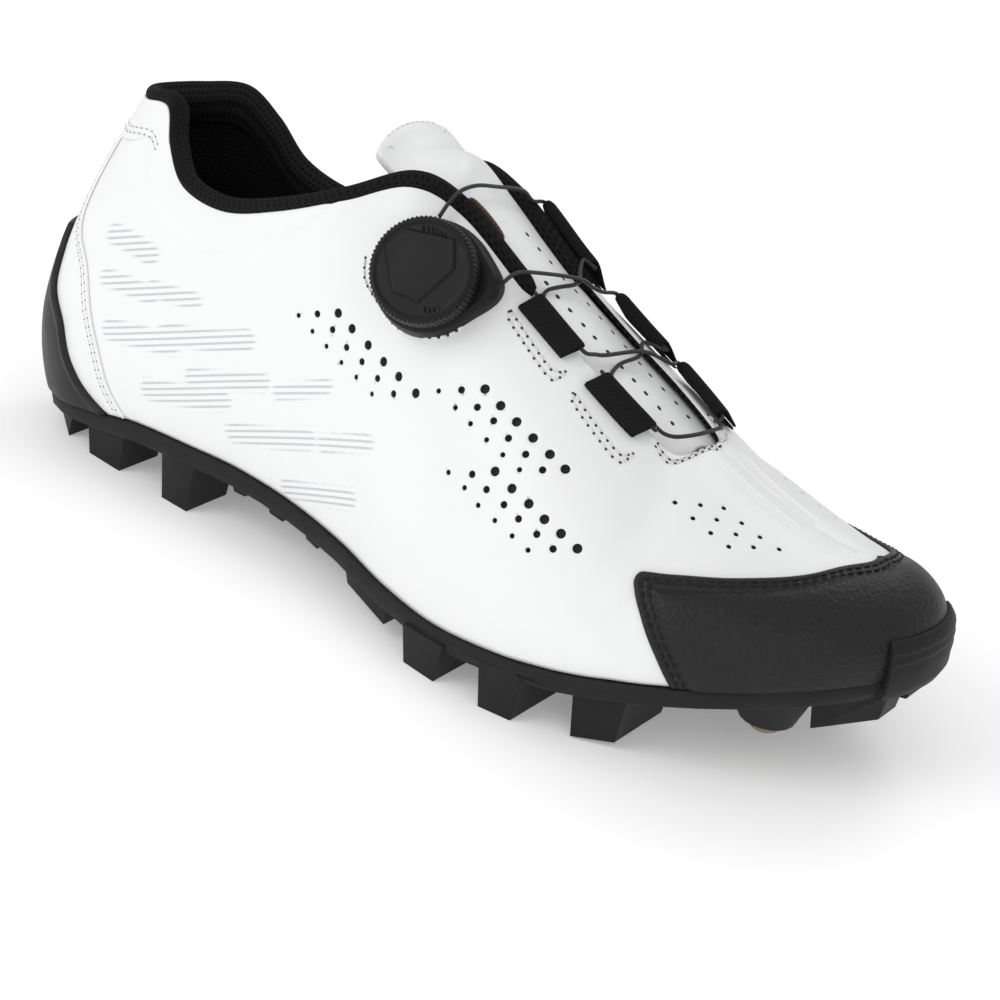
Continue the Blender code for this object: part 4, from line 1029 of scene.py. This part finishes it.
def make_overlays(leather, black, rubber, white_thread, black_thread, needle_hole_shade_paint):
    def cap_relief(s, v, inside):
        return -0.25 * MM * (bell(inside - 2.0, 0.6) + bell(inside - 3.7, 0.6))

    def stay_relief(s, v, inside):
        return -0.12 * MM * (bell(inside - 1.4, 0.5) + bell(inside - 2.9, 0.5))

    def cup_relief(s, v, inside):
        return 0.45 * MM * bell(inside - 0.9, 0.9) + 0.35 * MM * np.clip((inside - 3) / 6, 0, 1)

    TOE_CAP.make("toe_cap_panel", "toe_cap", black, 190, 80, 0.9, 0.75 * MM, 4.3, cap_relief)
    BACK_STAY.make("back_stay_panel", "back_stay", leather, 150, 90, 0.35, 0.0, 0.0, stay_relief)
    HEEL_CUP.make("heel_counter_cup", "heel_counter", rubber, 120, 60, 0.8, 0.4 * MM, 1.5, cup_relief)
    HEEL_TAB.make("heel_tab_panel", None, leather, 120, 24, 0.3)

    # holes gathers dark dots at the stitch ends: painted shade of the needle holes
    black_rows, white_rows, holes = bmesh.new(), bmesh.new(), bmesh.new()
    for inset in (2.0, 3.7):
        for path, ups in TOE_CAP.seam(inset * MM, 1.15 * MM):
            stitches(black_rows, path, ups, 1.9 * MM, 0.7 * MM, 0.34 * MM, 0.1 * MM)
    for inset in (1.4, 2.9):
        for path, ups in BACK_STAY.seam(inset * MM, 0.82 * MM, top=False, start=0.0):
            places, ways = stitches(white_rows, path[:-3], ups[:-3], 1.6 * MM, 0.8 * MM, 0.26 * MM, 0.0)
            dots(holes, places, ways, 0.26 * MM, 0.0)
    for rise in (0.895, 0.912):
        s = np.linspace(-2.35, 2.35, 120)
        path, ups = on_skin(s, np.full(120, rise), 0.72 * MM)
        places, ways = stitches(white_rows, path, ups, 1.6 * MM, 0.8 * MM, 0.26 * MM, 0.0)
        dots(holes, places, ways, 0.26 * MM, 0.0)
    line = smooth_curve(COLLAR_SEAM, 12)
    for side in (line[:, 0], LOOP - line[:, 0]):
        path, ups = on_skin(side, line[:, 1], -0.30 * MM)
        places, ways = stitches(white_rows, path, ups, 1.3 * MM, 0.9 * MM, 0.22 * MM, 0.02 * MM)
        dots(holes, places, ways, 0.36 * MM, 0.06 * MM)
    finished("toe_cap_stitches", black_rows, black_thread)
    finished("heel_stitches", white_rows, white_thread)
    finished("heel_needle_holes", holes, needle_hole_shade_paint)


def make_collar(cloth):
    """Padded round the ankle, a round binding along both sides of the throat."""
    first, last = 10.14, LOOP - 10.28
    count = 420
    turns = 40

    def shape(u, w):
        s = first + (last - LOOP - first) * u
        a = np.minimum(np.mod(s, LOOP), LOOP - np.mod(s, LOOP))
        pad = 1 - np.clip((a - 6.6) / 1.4, 0, 1)
        pad = pad * pad * (3 - 2 * pad)
        turn = 2 * math.pi * w
        grow = np.interp(a, (0, 6, 7.4, 9.0, 10.2), (2.15, 2.15, 2.2, 2.85, 3.0))
        lobe = np.where(np.mod(s, LOOP) > TOE, bell(a - 8.35, 0.75), 0.0)
        end = np.minimum(u, 1 - u) * count
        slim = 1 - 0.35 * np.clip(1 - end / 4, 0, 1) ** 2
        cos, sin = np.cos(turn), np.sin(turn)
        out = -1.25 + grow * slim * cos
        up = 1.35 + (grow * 1.12 + 1.8 * lobe * (sin > 0)) * slim * sin
        inner = np.clip(-cos, 0, 1) ** 1.5
        low = np.clip(-sin, 0, 1) * np.clip(-cos + 0.35, 0, 1)
        out = out - pad * (2.6 * inner + 1.4 * low)
        up = up - pad * (9.5 * low + 0.6 * inner)
        out, up = out * MM, up * MM
        long = np.linalg.norm(last_form(s, 1.0) - last_form(s, 0.9), axis=-1) * 10
        below = skin(s, np.clip(1 + up / long, 0.5, 1.0), out)
        above = edge(s, out, up)
        share = np.clip(up / (0.6 * MM) + 0.5, 0, 1)[:, None]
        return above * share + below * (1 - share)

    bm, _ = sheet_of(shape, count, turns, (290.0, 22.0))
    close_up(bm)
    return finished("collar_roll", bm, cloth, replaces=["collar"])


def on_last(row):
    """A point in the part's frame from its shares of the length, the half ball width and the instep height."""
    return np.array(row) * (LENGTH, HALF_BALL, INSTEP_HEIGHT) + np.array(PLACE)


def through(rows, closed=False):
    """shape(u, w) of a smooth surface through rows of points, u from row to row and w along each."""
    rows = np.asarray(rows, float)

    def weights(count, t, ring):
        place = np.clip(t, 0, 1) * (count if ring else count - 1)
        i = np.minimum(np.floor(place).astype(int), count - 1 if ring else count - 2)
        f = place - i
        near = i[:, None] + np.array((-1, 0, 1, 2))
        near = near % count if ring else np.clip(near, 0, count - 1)
        return near, np.stack([
            0.5 * (-f + 2 * f * f - f ** 3), 0.5 * (2 - 5 * f * f + 3 * f ** 3),
            0.5 * (f + 4 * f * f - 3 * f ** 3), 0.5 * (-f * f + f ** 3),
        ], -1)

    def shape(u, w):
        iu, wu = weights(len(rows), u, False)
        iw, ww = weights(rows.shape[1], w, closed)
        return np.einsum("ka,kb,kabc->kc", wu, ww, rows[iu[:, :, None], iw[:, None, :]])

    return shape


def close_up(bm, merge=2e-6):
    """Sews a grid that runs round on itself and fills its open ends."""
    bmesh.ops.remove_doubles(bm, verts=bm.verts, dist=merge)
    bmesh.ops.holes_fill(bm, edges=[e for e in bm.edges if e.is_boundary], sides=0)
    bmesh.ops.recalc_face_normals(bm, faces=bm.faces)


def tongue_rows():
    rows = []
    for along, across, rise, half_width, fall in TONGUE_TOP:
        rows.append([
            on_last((along + 0.005 * w * w, across + w * half_width, rise - fall * w * w))
            for w in np.linspace(-1, 1, 9)
        ])
    drop = -(WALL + 0.8 * MM)
    for s in TONGUE_STATIONS:
        other = LOOP - s
        a, b = edge(s, drop, 0.0), edge(other, drop, 0.0)
        ta = unit(last_form(s, 1.0) - last_form(s, 0.93))
        tb = unit(last_form(other, 1.0) - last_form(other, 0.93))
        pull = np.linalg.norm(b - a) * 0.5
        c1, c2 = a + ta * pull, b + tb * pull
        bridge = [
            a * (1 - t) ** 3 + c1 * (3 * t * (1 - t) ** 2) + c2 * (3 * t * t * (1 - t)) + b * t ** 3
            for t in np.linspace(0, 1, 7)
        ]
        rows.append([skin(s, 0.88, drop)] + bridge + [skin(other, 0.88, drop)])
    return rows


# Rows of small holes down the tongue, drawn as dark discs of painted shade: shares along and across it
TONGUE_HOLES = (
    ((0.47, 0.50), (0.50, 0.52), (0.527, 0.56), (0.54, 0.317), (0.57, 0.323), (0.603, 0.34), (0.638, 0.355),
     (0.667, 0.367),
     (0.70, 0.38), (0.735, 0.393), (0.768, 0.405), (0.802, 0.42), (0.845, 0.45), (0.893, 0.483)),
    ((0.56, 0.57), (0.585, 0.64), (0.608, 0.695), (0.635, 0.72), (0.667, 0.728), (0.70, 0.733), (0.74, 0.735),
     (0.77, 0.74),
     (0.805, 0.757), (0.84, 0.78), (0.878, 0.793)),
)


def make_tongue(cloth, hole_shade_finish, white_thread):
    shape = through(tongue_rows())
    bm, _ = sheet_of(shape, 70, 44, (110.0, 60.0))
    bmesh.ops.recalc_face_normals(bm, faces=bm.faces)
    if sum(face.normal.z for face in bm.faces) < 0:
        bmesh.ops.reverse_faces(bm, faces=bm.faces)
    tongue = finished("tongue_pad", bm, cloth, replaces=["tongue"])
    thick = tongue.modifiers.new("Thickness", "SOLIDIFY")
    thick.thickness = TONGUE
    thick.offset = -1
    rounded = tongue.modifiers.new("Rounded", "SUBSURF")
    rounded.levels = rounded.render_levels = 1

    def on_tongue(u, w):
        u, w = np.asarray(u, float), np.asarray(w, float)
        a, b, c = shape(u, w), shape(u + 0.004, w), shape(u, w + 0.004)
        normal = unit(np.cross(b - a, c - a))
        return a, normal * np.sign(normal[:, 2:])

    holes, seam = bmesh.new(), bmesh.new()
    for row in TONGUE_HOLES:
        places, ups = on_tongue([u for u, w in row], [w for u, w in row])
        # painted shade: flattened dark discs lie on the tongue where its holes are
        dots(holes, places, ups, 0.80 * MM, -0.02 * MM, 0.22, 12)
    line = even(np.array([(0.06, w, 0.0) for w in np.linspace(0.12, 0.88, 30)]), 0.02)
    places, ups = on_tongue(line[:, 0], line[:, 1])
    stitches(seam, places, ups, 1.5 * MM, 0.8 * MM, 0.24 * MM, 0.05 * MM)
    finished("tongue_holes", holes, hole_shade_finish)
    finished("tongue_stitches", seam, white_thread)
    return tongue


def near_edge(s, out, up):
    """Places by the top edge, in millimetres: out from the upper, up past the edge or down its side."""
    s, out, up = (np.atleast_1d(np.asarray(x, float)) for x in np.broadcast_arrays(s, out, up))
    long = np.linalg.norm(last_form(s, 1.0) - last_form(s, 0.9), axis=-1) * 10
    below = skin(s, np.clip(1 + up * MM / long, 0.3, 1.0), out * MM)
    above = edge(s, out * MM, up * MM)
    share = np.clip(up / 0.6 + 0.5, 0, 1)[:, None]
    return above * share + below * (1 - share)


# Middle of the folded webbing, out and up in millimetres, from its outer foot over the wire to its inner foot
LATERAL_FOLD = (
    (1.55, -7.0), (1.6, -5.0), (1.95, -3.2), (2.5, -1.9), (2.85, -0.6), (2.5, 0.3), (1.75, 0.62), (1.0, 0.2),
    (0.72, -0.7), (0.72, -2.4), (0.72, -4.5), (0.72, -7.0),
)
MEDIAL_FOLD = (
    (1.7, -8.0), (2.6, -5.6), (3.7, -3.2), (4.5, -1.4), (4.75, -0.2), (4.3, 0.75), (3.4, 1.05), (2.5, 0.6),
    (2.1, -0.5), (1.5, -2.5), (0.9, -5.0), (0.8, -8.0),
)
WEBBING = 0.8


def make_guides(webbing):
    for name, medial, first, last, foot, height, gap in GUIDES:
        fold = smooth_curve(MEDIAL_FOLD if medial else LATERAL_FOLD, 4)
        ahead = unit(np.gradient(fold, axis=0))
        beside = np.stack([-ahead[:, 1], ahead[:, 0]], 1) * WEBBING / 2
        ring = np.concatenate([fold + beside, (fold - beside)[::-1]])
        core = np.concatenate([fold, fold[::-1]])
        lean = 0.0 if medial else 0.17
        rows = []
        for share in np.linspace(0, 1, 23):
            a = first + (last - first) * share
            end = min(share, 1 - share)
            slim = 1 - 0.5 * max(0.0, 1 - end / 0.03) ** 2
            out, up = (core + (ring - core) * slim).T
            s = a + lean * up / 7.0
            rows.append(near_edge(LOOP - s if medial else s, out, up))
        bm, _ = sheet_of(through(rows, closed=True), 44, 100, (22.0, 24.0))
        close_up(bm)
        finished(name + "_webbing", bm, webbing, replaces=[name])


def dial_frame():
    side = unit(np.cross(DIAL_AXIS, (0, 0, 1)))
    return last_form(*DIAL_AT) + np.array(PLACE), side, np.cross(side, DIAL_AXIS)


def by_dial(angle, reach, up):
    centre, side, other = dial_frame()
    outwards = side * math.cos(angle) + other * math.sin(angle)
    return centre + outwards * (BASE_RADIUS + reach) + DIAL_AXIS * up


def in_guide(index, backwards=False):
    """The wire's way through one guide."""
    name, medial, first, last, foot, height, gap = GUIDES[index]
    stops = np.linspace(first - 0.06, last + 0.06, 6)
    line = list(near_edge(LOOP - stops if medial else stops, *((3.4, -0.15) if medial else (1.8, -0.5))))
    return line[::-1] if backwards else line


def lifted(points, at, rise):
    """Raises a run of the wire where it passes over another."""
    points = [np.array(p) for p in points]
    points[at] = points[at] + (0, 0, rise)
    return points


def make_wire(coat):
    top = [by_dial(*EXIT_TOP)] + [on_last(p) for p in WIRE_TOP]
    dial = [by_dial(*EXIT_SIDE)] + lifted([on_last(p) for p in WIRE_DIAL], 2, 0.7 * MM)
    upper = lifted([on_last(p) for p in WIRE_UPPER], 2, -0.5 * MM)
    mid = lifted([on_last(p) for p in WIRE_MID], 2, 0.7 * MM)
    lower = lifted([on_last(p) for p in WIRE_LOWER], 1, -0.5 * MM)
    toe = [on_last(p) for p in WIRE_TOE]
    run = top + in_guide(2) + upper + in_guide(0) + mid + in_guide(4) + toe[::-1]
    run = run + in_guide(1, True) + lower[::-1] + in_guide(3, True) + dial[::-1]
    path = even(smooth_curve(run, 10), 0.9 * MM)
    bm = bmesh.new()
    tube(bm, path, WIRE, 8)
    runs = ["lace_top", "lace_toe", "lace_crossing_upper", "lace_crossing_lower"]
    return finished("lace_wire", bm, coat, replaces=runs)


def make_loop(tape):
    """Flat tape over the top run of the wire, its ends sewn into the collar."""
    places = (
        (9.02, -0.9, 3.6), (9.04, -0.9, 4.6), (9.12, -0.8, 5.2), (9.3, -0.7, 5.35), (9.48, -0.8, 5.25),
        (9.56, -0.9, 4.7), (9.58, -0.9, 3.6),
    )
    path = [edge(s, out * MM, up * MM) for s, out, up in places]
    path = even(smooth_curve(path, 6), 0.5 * MM)
    ups = np.repeat(unit(edge(9.3, 0.0, MM) - edge(9.3, 0.0, 0.0))[None], len(path), 0)
    bm = bmesh.new()
    tube(bm, path, 1.5 * MM, 12, 0.3, ups)
    return finished("throat_loop_tape", bm, tape, replaces=["throat_loop"])


def round_form(profile, around, ripple=None):
    """A turned form about +Z from (radius, height) points, with an optional change of radius round it."""
    profile = np.array(profile, float)

    def shape(u, w):
        at = w * (len(profile) - 1)
        r = np.interp(at, np.arange(len(profile)), profile[:, 0])
        z = np.interp(at, np.arange(len(profile)), profile[:, 1])
        turn = 2 * math.pi * u
        if ripple is not None:
            r, z = ripple(turn, r, z)
        return np.stack([r * np.cos(turn), r * np.sin(turn), z], -1)

    bm, _ = sheet_of(shape, around, len(profile) - 1)
    return bm


def dial_matrix():
    centre, side, other = dial_frame()
    turn = Matrix((side, other, DIAL_AXIS)).transposed().to_4x4()
    return Matrix.Translation(Vector(centre)) @ turn


def soft_steps(points, radius, steps=4):
    """A profile with its corners rounded."""
    points = np.array(points, float)
    made = [points[0]]
    for a, b, c in zip(points[:-2], points[1:-1], points[2:]):
        back, ahead = a - b, c - b
        cut = min(radius, np.linalg.norm(back) * 0.45, np.linalg.norm(ahead) * 0.45)
        start, end = b + unit(back) * cut, b + unit(ahead) * cut
        for t in np.linspace(0, 1, steps + 1):
            made.append(start * (1 - t) ** 2 + b * 2 * t * (1 - t) + end * t * t)
    return made + [points[-1]]


def turned(bm, matrix):
    """Welds a turned form, moves it to its place and faces it outwards."""
    bmesh.ops.remove_doubles(bm, verts=bm.verts, dist=2e-6)
    bmesh.ops.transform(bm, matrix=matrix, verts=bm.verts)
    bmesh.ops.recalc_face_normals(bm, faces=bm.faces)
    return bm


# Corners of the raised panel on the dial's face, in millimetres along its side and up
FACE_PANEL = ((10.9, 3.1), (6.8, 8.5), (-5.8, 9.4), (-8.2, 2.3), (-2.0, -8.1), (5.4, -7.3))
# Grooves pressed beside the panel: middle, half length, half width in millimetres, turn in degrees
FACE_GROOVES = tuple((x, 10.1 - 0.05 * x * x, 0.9, 0.28, 60) for x in (-3.4, -2.2, -1.0, 0.2, 1.4, 2.6)) + tuple(
    (x, -9.3 + 0.05 * (x + 4) ** 2, 0.9, 0.28, 60) for x in (-8.0, -6.8, -5.6, -4.4)
)


def make_knob(plastic):
    low = DIAL_TOP + CLEARANCE
    high = low + KNOB_HEIGHT
    r = KNOB_RADIUS
    profile = soft_steps([
        (0.0, high - 0.9 * MM), (11.6 * MM, high - 0.9 * MM), (12.3 * MM, high - 0.5 * MM),
        (13.2 * MM, high - 1.1 * MM), (r, high - 1.8 * MM), (r, low + 0.5 * MM), (r - 0.5 * MM, low), (0.0, low),
    ], 0.35 * MM)
    inner = [(x * MM, profile[0][1]) for x in np.linspace(0.0, 11.2, 46)]
    profile = inner + [p for p in profile[1:] if p[0] > 11.25 * MM or p[1] < low + 0.2 * MM]
    corners = np.array(FACE_PANEL)

    def panel(x, y):
        inside = np.full(x.shape, 1e3)
        for a, b in zip(corners, np.roll(corners, -1, 0)):
            step = unit(b - a)
            inside = np.minimum(inside, step[0] * (y - a[1]) - step[1] * (x - a[0]))
        return np.clip(inside / 0.35 + 0.5, 0, 1)

    def ripple(turn, radius, z):
        side = np.clip((z - low - 0.1 * MM) / (0.6 * MM), 0, 1)
        rim = np.clip((radius - (r - 1.2 * MM)) / (1.0 * MM), 0, 1) * side
        x, y = radius * np.cos(turn) / MM, radius * np.sin(turn) / MM
        top = (z > high - 1.0 * MM) & (radius < 11.3 * MM)
        rise = 0.55 * panel(x, y)
        for px, py, long, wide, angle in FACE_GROOVES:
            c, s = math.cos(math.radians(angle)), math.sin(math.radians(angle))
            along, beside = (x - px) * c + (y - py) * s, -(x - px) * s + (y - py) * c
            middle = np.clip(1 - (np.abs(along) / long) ** 4, 0, 1) * np.clip(1 - (np.abs(beside) / wide) ** 2, 0, 1)
            rise = rise - 0.4 * middle
        z = z + np.where(top, rise * MM, 0.0)
        return radius - 0.34 * MM * rim * (0.5 - 0.5 * np.cos(turn * 72)), z

    bm = turned(round_form(profile, 576, ripple), dial_matrix())
    return finished("dial_knob_cap", bm, plastic, replaces=["dial_knob"])


def make_base(plastic):
    """The dial's base: a stepped ring whose foot spreads on the upper, with the wire's port at its side."""
    r = BASE_RADIUS
    profile = soft_steps([
        (0.0, DIAL_TOP - 0.5 * MM), (11.5 * MM, DIAL_TOP - 0.5 * MM), (11.8 * MM, DIAL_TOP), (r - 1.4 * MM, DIAL_TOP),
        (r - 0.4 * MM, DIAL_TOP - 0.7 * MM), (r, 1.6 * MM), (r + 0.2 * MM, -1.0 * MM), (r + 0.2 * MM, -6.0 * MM), (0.0, -6.0 * MM),
    ], 0.5 * MM)

    def ripple(turn, radius, z):
        bump = np.clip(np.cos(turn - PORT_ANGLE), 0, 1) ** 12
        share = np.clip(radius / r, 0, 1) ** 3
        return radius + PORT * bump * share, z - 0.5 * MM * bump * (radius > r - 0.6 * MM)

    bm = turned(round_form(profile, 240, ripple), dial_matrix())
    return finished("dial_base_ring", bm, plastic, replaces=["dial_base"])


# Half outline of a stud, in shares of its radius and height
STUD_PROFILE = ((0, 0), (1, 0), (1, 0.25), (0.92, 0.58), (0.72, 0.82), (0.42, 1), (0, 1))


def make_studs(metal):
    for name, along, across, rise in STUDS:
        profile = soft_steps([(x * STUD, -z * STUD_HEIGHT) for x, z in STUD_PROFILE], 0.5 * MM)
        bm = round_form(profile, 48)
        bmesh.ops.remove_doubles(bm, verts=bm.verts, dist=2e-6)
        bmesh.ops.recalc_face_normals(bm, faces=bm.faces)
        bmesh.ops.translate(bm, verts=bm.verts, vec=on_last((along, across, rise)) - (0, 0, CLEARANCE))
        finished(name + "_dome", bm, metal, replaces=[name])


def dress(node, finish):
    """A CAD node that keeps its shape takes a finish."""
    mesh = bpy.data.objects[node].data
    mesh.materials.clear()
    mesh.materials.append(finish.material)




def make_insole(cloth):
    """Padded sole inside the shoe, its edge rounded under the lining."""
    def shape(u, w):
        s = (u * LOOP) % LOOP
        side = feather(s)
        half = np.array([(0.0, 0.0), (0.90, 0.0), (1.0, 0.5), (0.97, 1.0), (0.7, 1.05), (0.35, 1.0), (0.0, 1.0)])
        reach = np.interp(w * 6, np.arange(7), half[:, 0])
        rise = np.interp(w * 6, np.arange(7), half[:, 1])
        rim = side - outward(s) * (WALL + 1.3 * MM)
        other = feather(LOOP - s) - outward(LOOP - s) * (WALL + 1.3 * MM)
        middle = (rim + other) / 2
        middle[:, 0] = np.clip(middle[:, 0], 0.11 * LENGTH, 0.90 * LENGTH)
        place = middle + (rim - middle) * reach[:, None]
        place[:, 2] += 0.45 * MM + rise * INSOLE
        return place + np.array(PLACE)

    bm, _ = sheet_of(shape, 240, 6, (280.0, 40.0))
    bmesh.ops.remove_doubles(bm, verts=bm.verts, dist=1e-5)
    bmesh.ops.recalc_face_normals(bm, faces=bm.faces)
    insole = finished("insole_pad", bm, cloth, replaces=["insole"])
    return insole


# Stitched lines on the white panels: round the dial, beside the guides, and the lip of the throat
RING_SEAM = (
    (7.62, 0.74), (7.7, 0.667), (8.0, 0.6), (8.38, 0.557), (8.8, 0.562), (9.18, 0.603), (9.42, 0.67), (9.5, 0.75),
    (9.48, 0.893), (9.3, 0.93),
)
PATCH_SEAMS = (
    ((9.95, 0.86), (9.97, 0.84), (10.3, 0.822), (10.72, 0.807), (10.84, 0.83), (10.9, 0.88)),
    ((11.1, 0.84), (11.13, 0.813), (11.5, 0.79), (12.03, 0.773), (12.18, 0.80), (12.24, 0.85)),
)
THROAT_LIP = (
    (12.53, 0.985), (12.85, 0.955), (13.05, 0.948), (13.3, 0.96), (13.58, 0.972), (13.9, 0.982), (14.25, 0.995),
)


def make_seams(white_thread, hole_shade_finish):
    rows, holes = bmesh.new(), bmesh.new()
    lines = [RING_SEAM, THROAT_LIP, tuple((LOOP - s, v) for s, v in THROAT_LIP)]
    lines += [PATCH_SEAMS[0], PATCH_SEAMS[1]]
    lines += [tuple((s, v + 0.03) for s, v in seam[1:5]) for seam in PATCH_SEAMS]
    lines += [tuple((s, v - 0.022) for s, v in THROAT_LIP)]
    for points in lines:
        line = smooth_curve(points, 10)
        path, ups = on_skin(line[:, 0], line[:, 1], 0.10 * MM)
        places, ways = stitches(rows, path, ups, 1.7 * MM, 0.8 * MM, 0.36 * MM, 0.12 * MM)
        # painted shade: dark dots at the stitch ends stand for the needle holes
        dots(holes, places, ways, 0.40 * MM, -0.02 * MM)
    finished("panel_stitches", rows, white_thread)
    finished("panel_needle_holes", holes, hole_shade_finish)


def round_edges(node, width, angle):
    """Takes the sharp edges off a CAD node that keeps its shape."""
    obj = bpy.data.objects[node]
    for polygon in obj.data.polygons:
        polygon.use_smooth = True
    weld = obj.modifiers.new("Weld", "WELD")
    weld.merge_threshold = 0.01 * MM
    flat = obj.modifiers.new("Whole faces", "DECIMATE")
    flat.decimate_type = "DISSOLVE"
    flat.angle_limit = math.radians(1.5)
    bevel = obj.modifiers.new("Rounded", "BEVEL")
    bevel.width = width
    bevel.segments = 2
    bevel.limit_method = "ANGLE"
    bevel.angle_limit = math.radians(angle)
    bevel.harden_normals = True
    bevel.use_clamp_overlap = False


def make_stage(floor_finish):
    bm = bmesh.new()
    bmesh.ops.create_grid(bm, x_segments=1, y_segments=1, size=12.0)
    mesh = bpy.data.meshes.new("floor")
    bm.to_mesh(mesh)
    bm.free()
    floor = bpy.data.objects.new("floor", mesh)
    bpy.context.scene.collection.objects.link(floor)
    mesh.materials.append(floor_finish.material)
    return floor


def area_light(name, place, towards, size, power, colour=(1, 1, 1)):
    data = bpy.data.lights.new(name, "AREA")
    data.shape = "DISK"
    data.size = size
    data.energy = power
    data.color = colour
    obj = bpy.data.objects.new(name, data)
    bpy.context.scene.collection.objects.link(obj)
    obj.location = place
    obj.rotation_mode = "QUATERNION"
    obj.rotation_quaternion = (Vector(towards) - Vector(place)).to_track_quat("-Z", "Y")
    return obj


def make_camera():
    """The photo's angle: 30 degrees round to the toe side, 25 degrees up, rolled 10.5 degrees."""
    az, el, roll = (math.radians(a) for a in (30.0, 25.0, 10.5))
    back = Vector((math.sin(az) * math.cos(el), -math.cos(az) * math.cos(el), math.sin(el)))
    right = (-back).cross(Vector((0, 0, 1))).normalized()
    down = (-back).cross(right)
    across = right * math.cos(roll) - down * math.sin(roll)
    under = right * math.sin(roll) + down * math.cos(roll)
    data = bpy.data.cameras.new("camera")
    data.sensor_width = 36.0
    data.lens = 97.42
    data.clip_start = 0.01
    data.clip_end = 50.0
    obj = bpy.data.objects.new("camera", data)
    bpy.context.scene.collection.objects.link(obj)
    turn = Matrix((across, -under, back)).transposed()
    obj.matrix_world = Matrix.Translation(Vector((472.8, -564.5, 330.5)) * MM + PLACE) @ turn.to_4x4()
    bpy.context.scene.camera = obj
    return obj


def make_light():
    world = bpy.data.worlds.new("studio")
    world.use_nodes = True
    sky = world.node_tree.nodes["Background"]
    sky.inputs["Color"].default_value = (1, 1, 1, 1)
    sky.inputs["Strength"].default_value = 0.62
    bpy.context.scene.world = world
    area_light("key", (-0.55, -0.95, 0.85), (0, 0, 0.04), 0.9, 5.6)
    area_light("fill", (0.9, -0.9, 0.7), (0.03, 0, 0.04), 0.8, 2.0)
    area_light("rim", (0.0, 0.9, 0.9), (0, 0, 0.05), 0.6, 2.0)
    bpy.context.scene.view_settings.view_transform = "Standard"


def main():
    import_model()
    white = leather_white("upper_leather", True)
    plain_white = leather_white("panel_leather")
    white_thread = thread("white_thread", (0.80, 0.80, 0.79))
    black_thread = thread("black_thread", (0.012, 0.012, 0.012))
    # painted shade: a flat dark grey for hole walls and floors and the dots standing for tongue and needle holes
    painted_hole_shade = plain("hole_shade_paint", (0.05, 0.05, 0.052))
    make_upper(white, knit("upper_lining", 0.012, 1.6), painted_hole_shade)
    make_overlays(plain_white, leather_black(), moulded_rubber("counter_rubber", 0.012, 0.45, 0.3),
                  white_thread, black_thread, painted_hole_shade)
    make_collar(knit("collar_mesh", 0.009, 1.5))
    make_tongue(plain_white, painted_hole_shade, white_thread)
    make_seams(white_thread, painted_hole_shade)
    make_insole(knit("insole_cloth", 0.05, 1.2))
    webbing = woven("guide_webbing", 0.009)
    make_guides(webbing)
    make_wire(coated_wire())
    make_loop(woven("loop_tape", 0.10, 1.1, 0.55, (1.15, 0.95, 0.70)))
    make_knob(moulded_plastic("knob_plastic"))
    make_studs(dull_metal())
    rubber = moulded_rubber("sole_rubber", 0.009, 0.62, 0.4)
    dress("outsole", rubber)
    round_edges("outsole", 0.25 * MM, 40)
    make_base(moulded_plastic("dial_base_plastic", 0.005, 0.48))
    make_stage(studio("floor_paint", (0.93, 0.93, 0.93), 0.6, emission_strength=0.24))
    make_light()
    make_camera()


main()
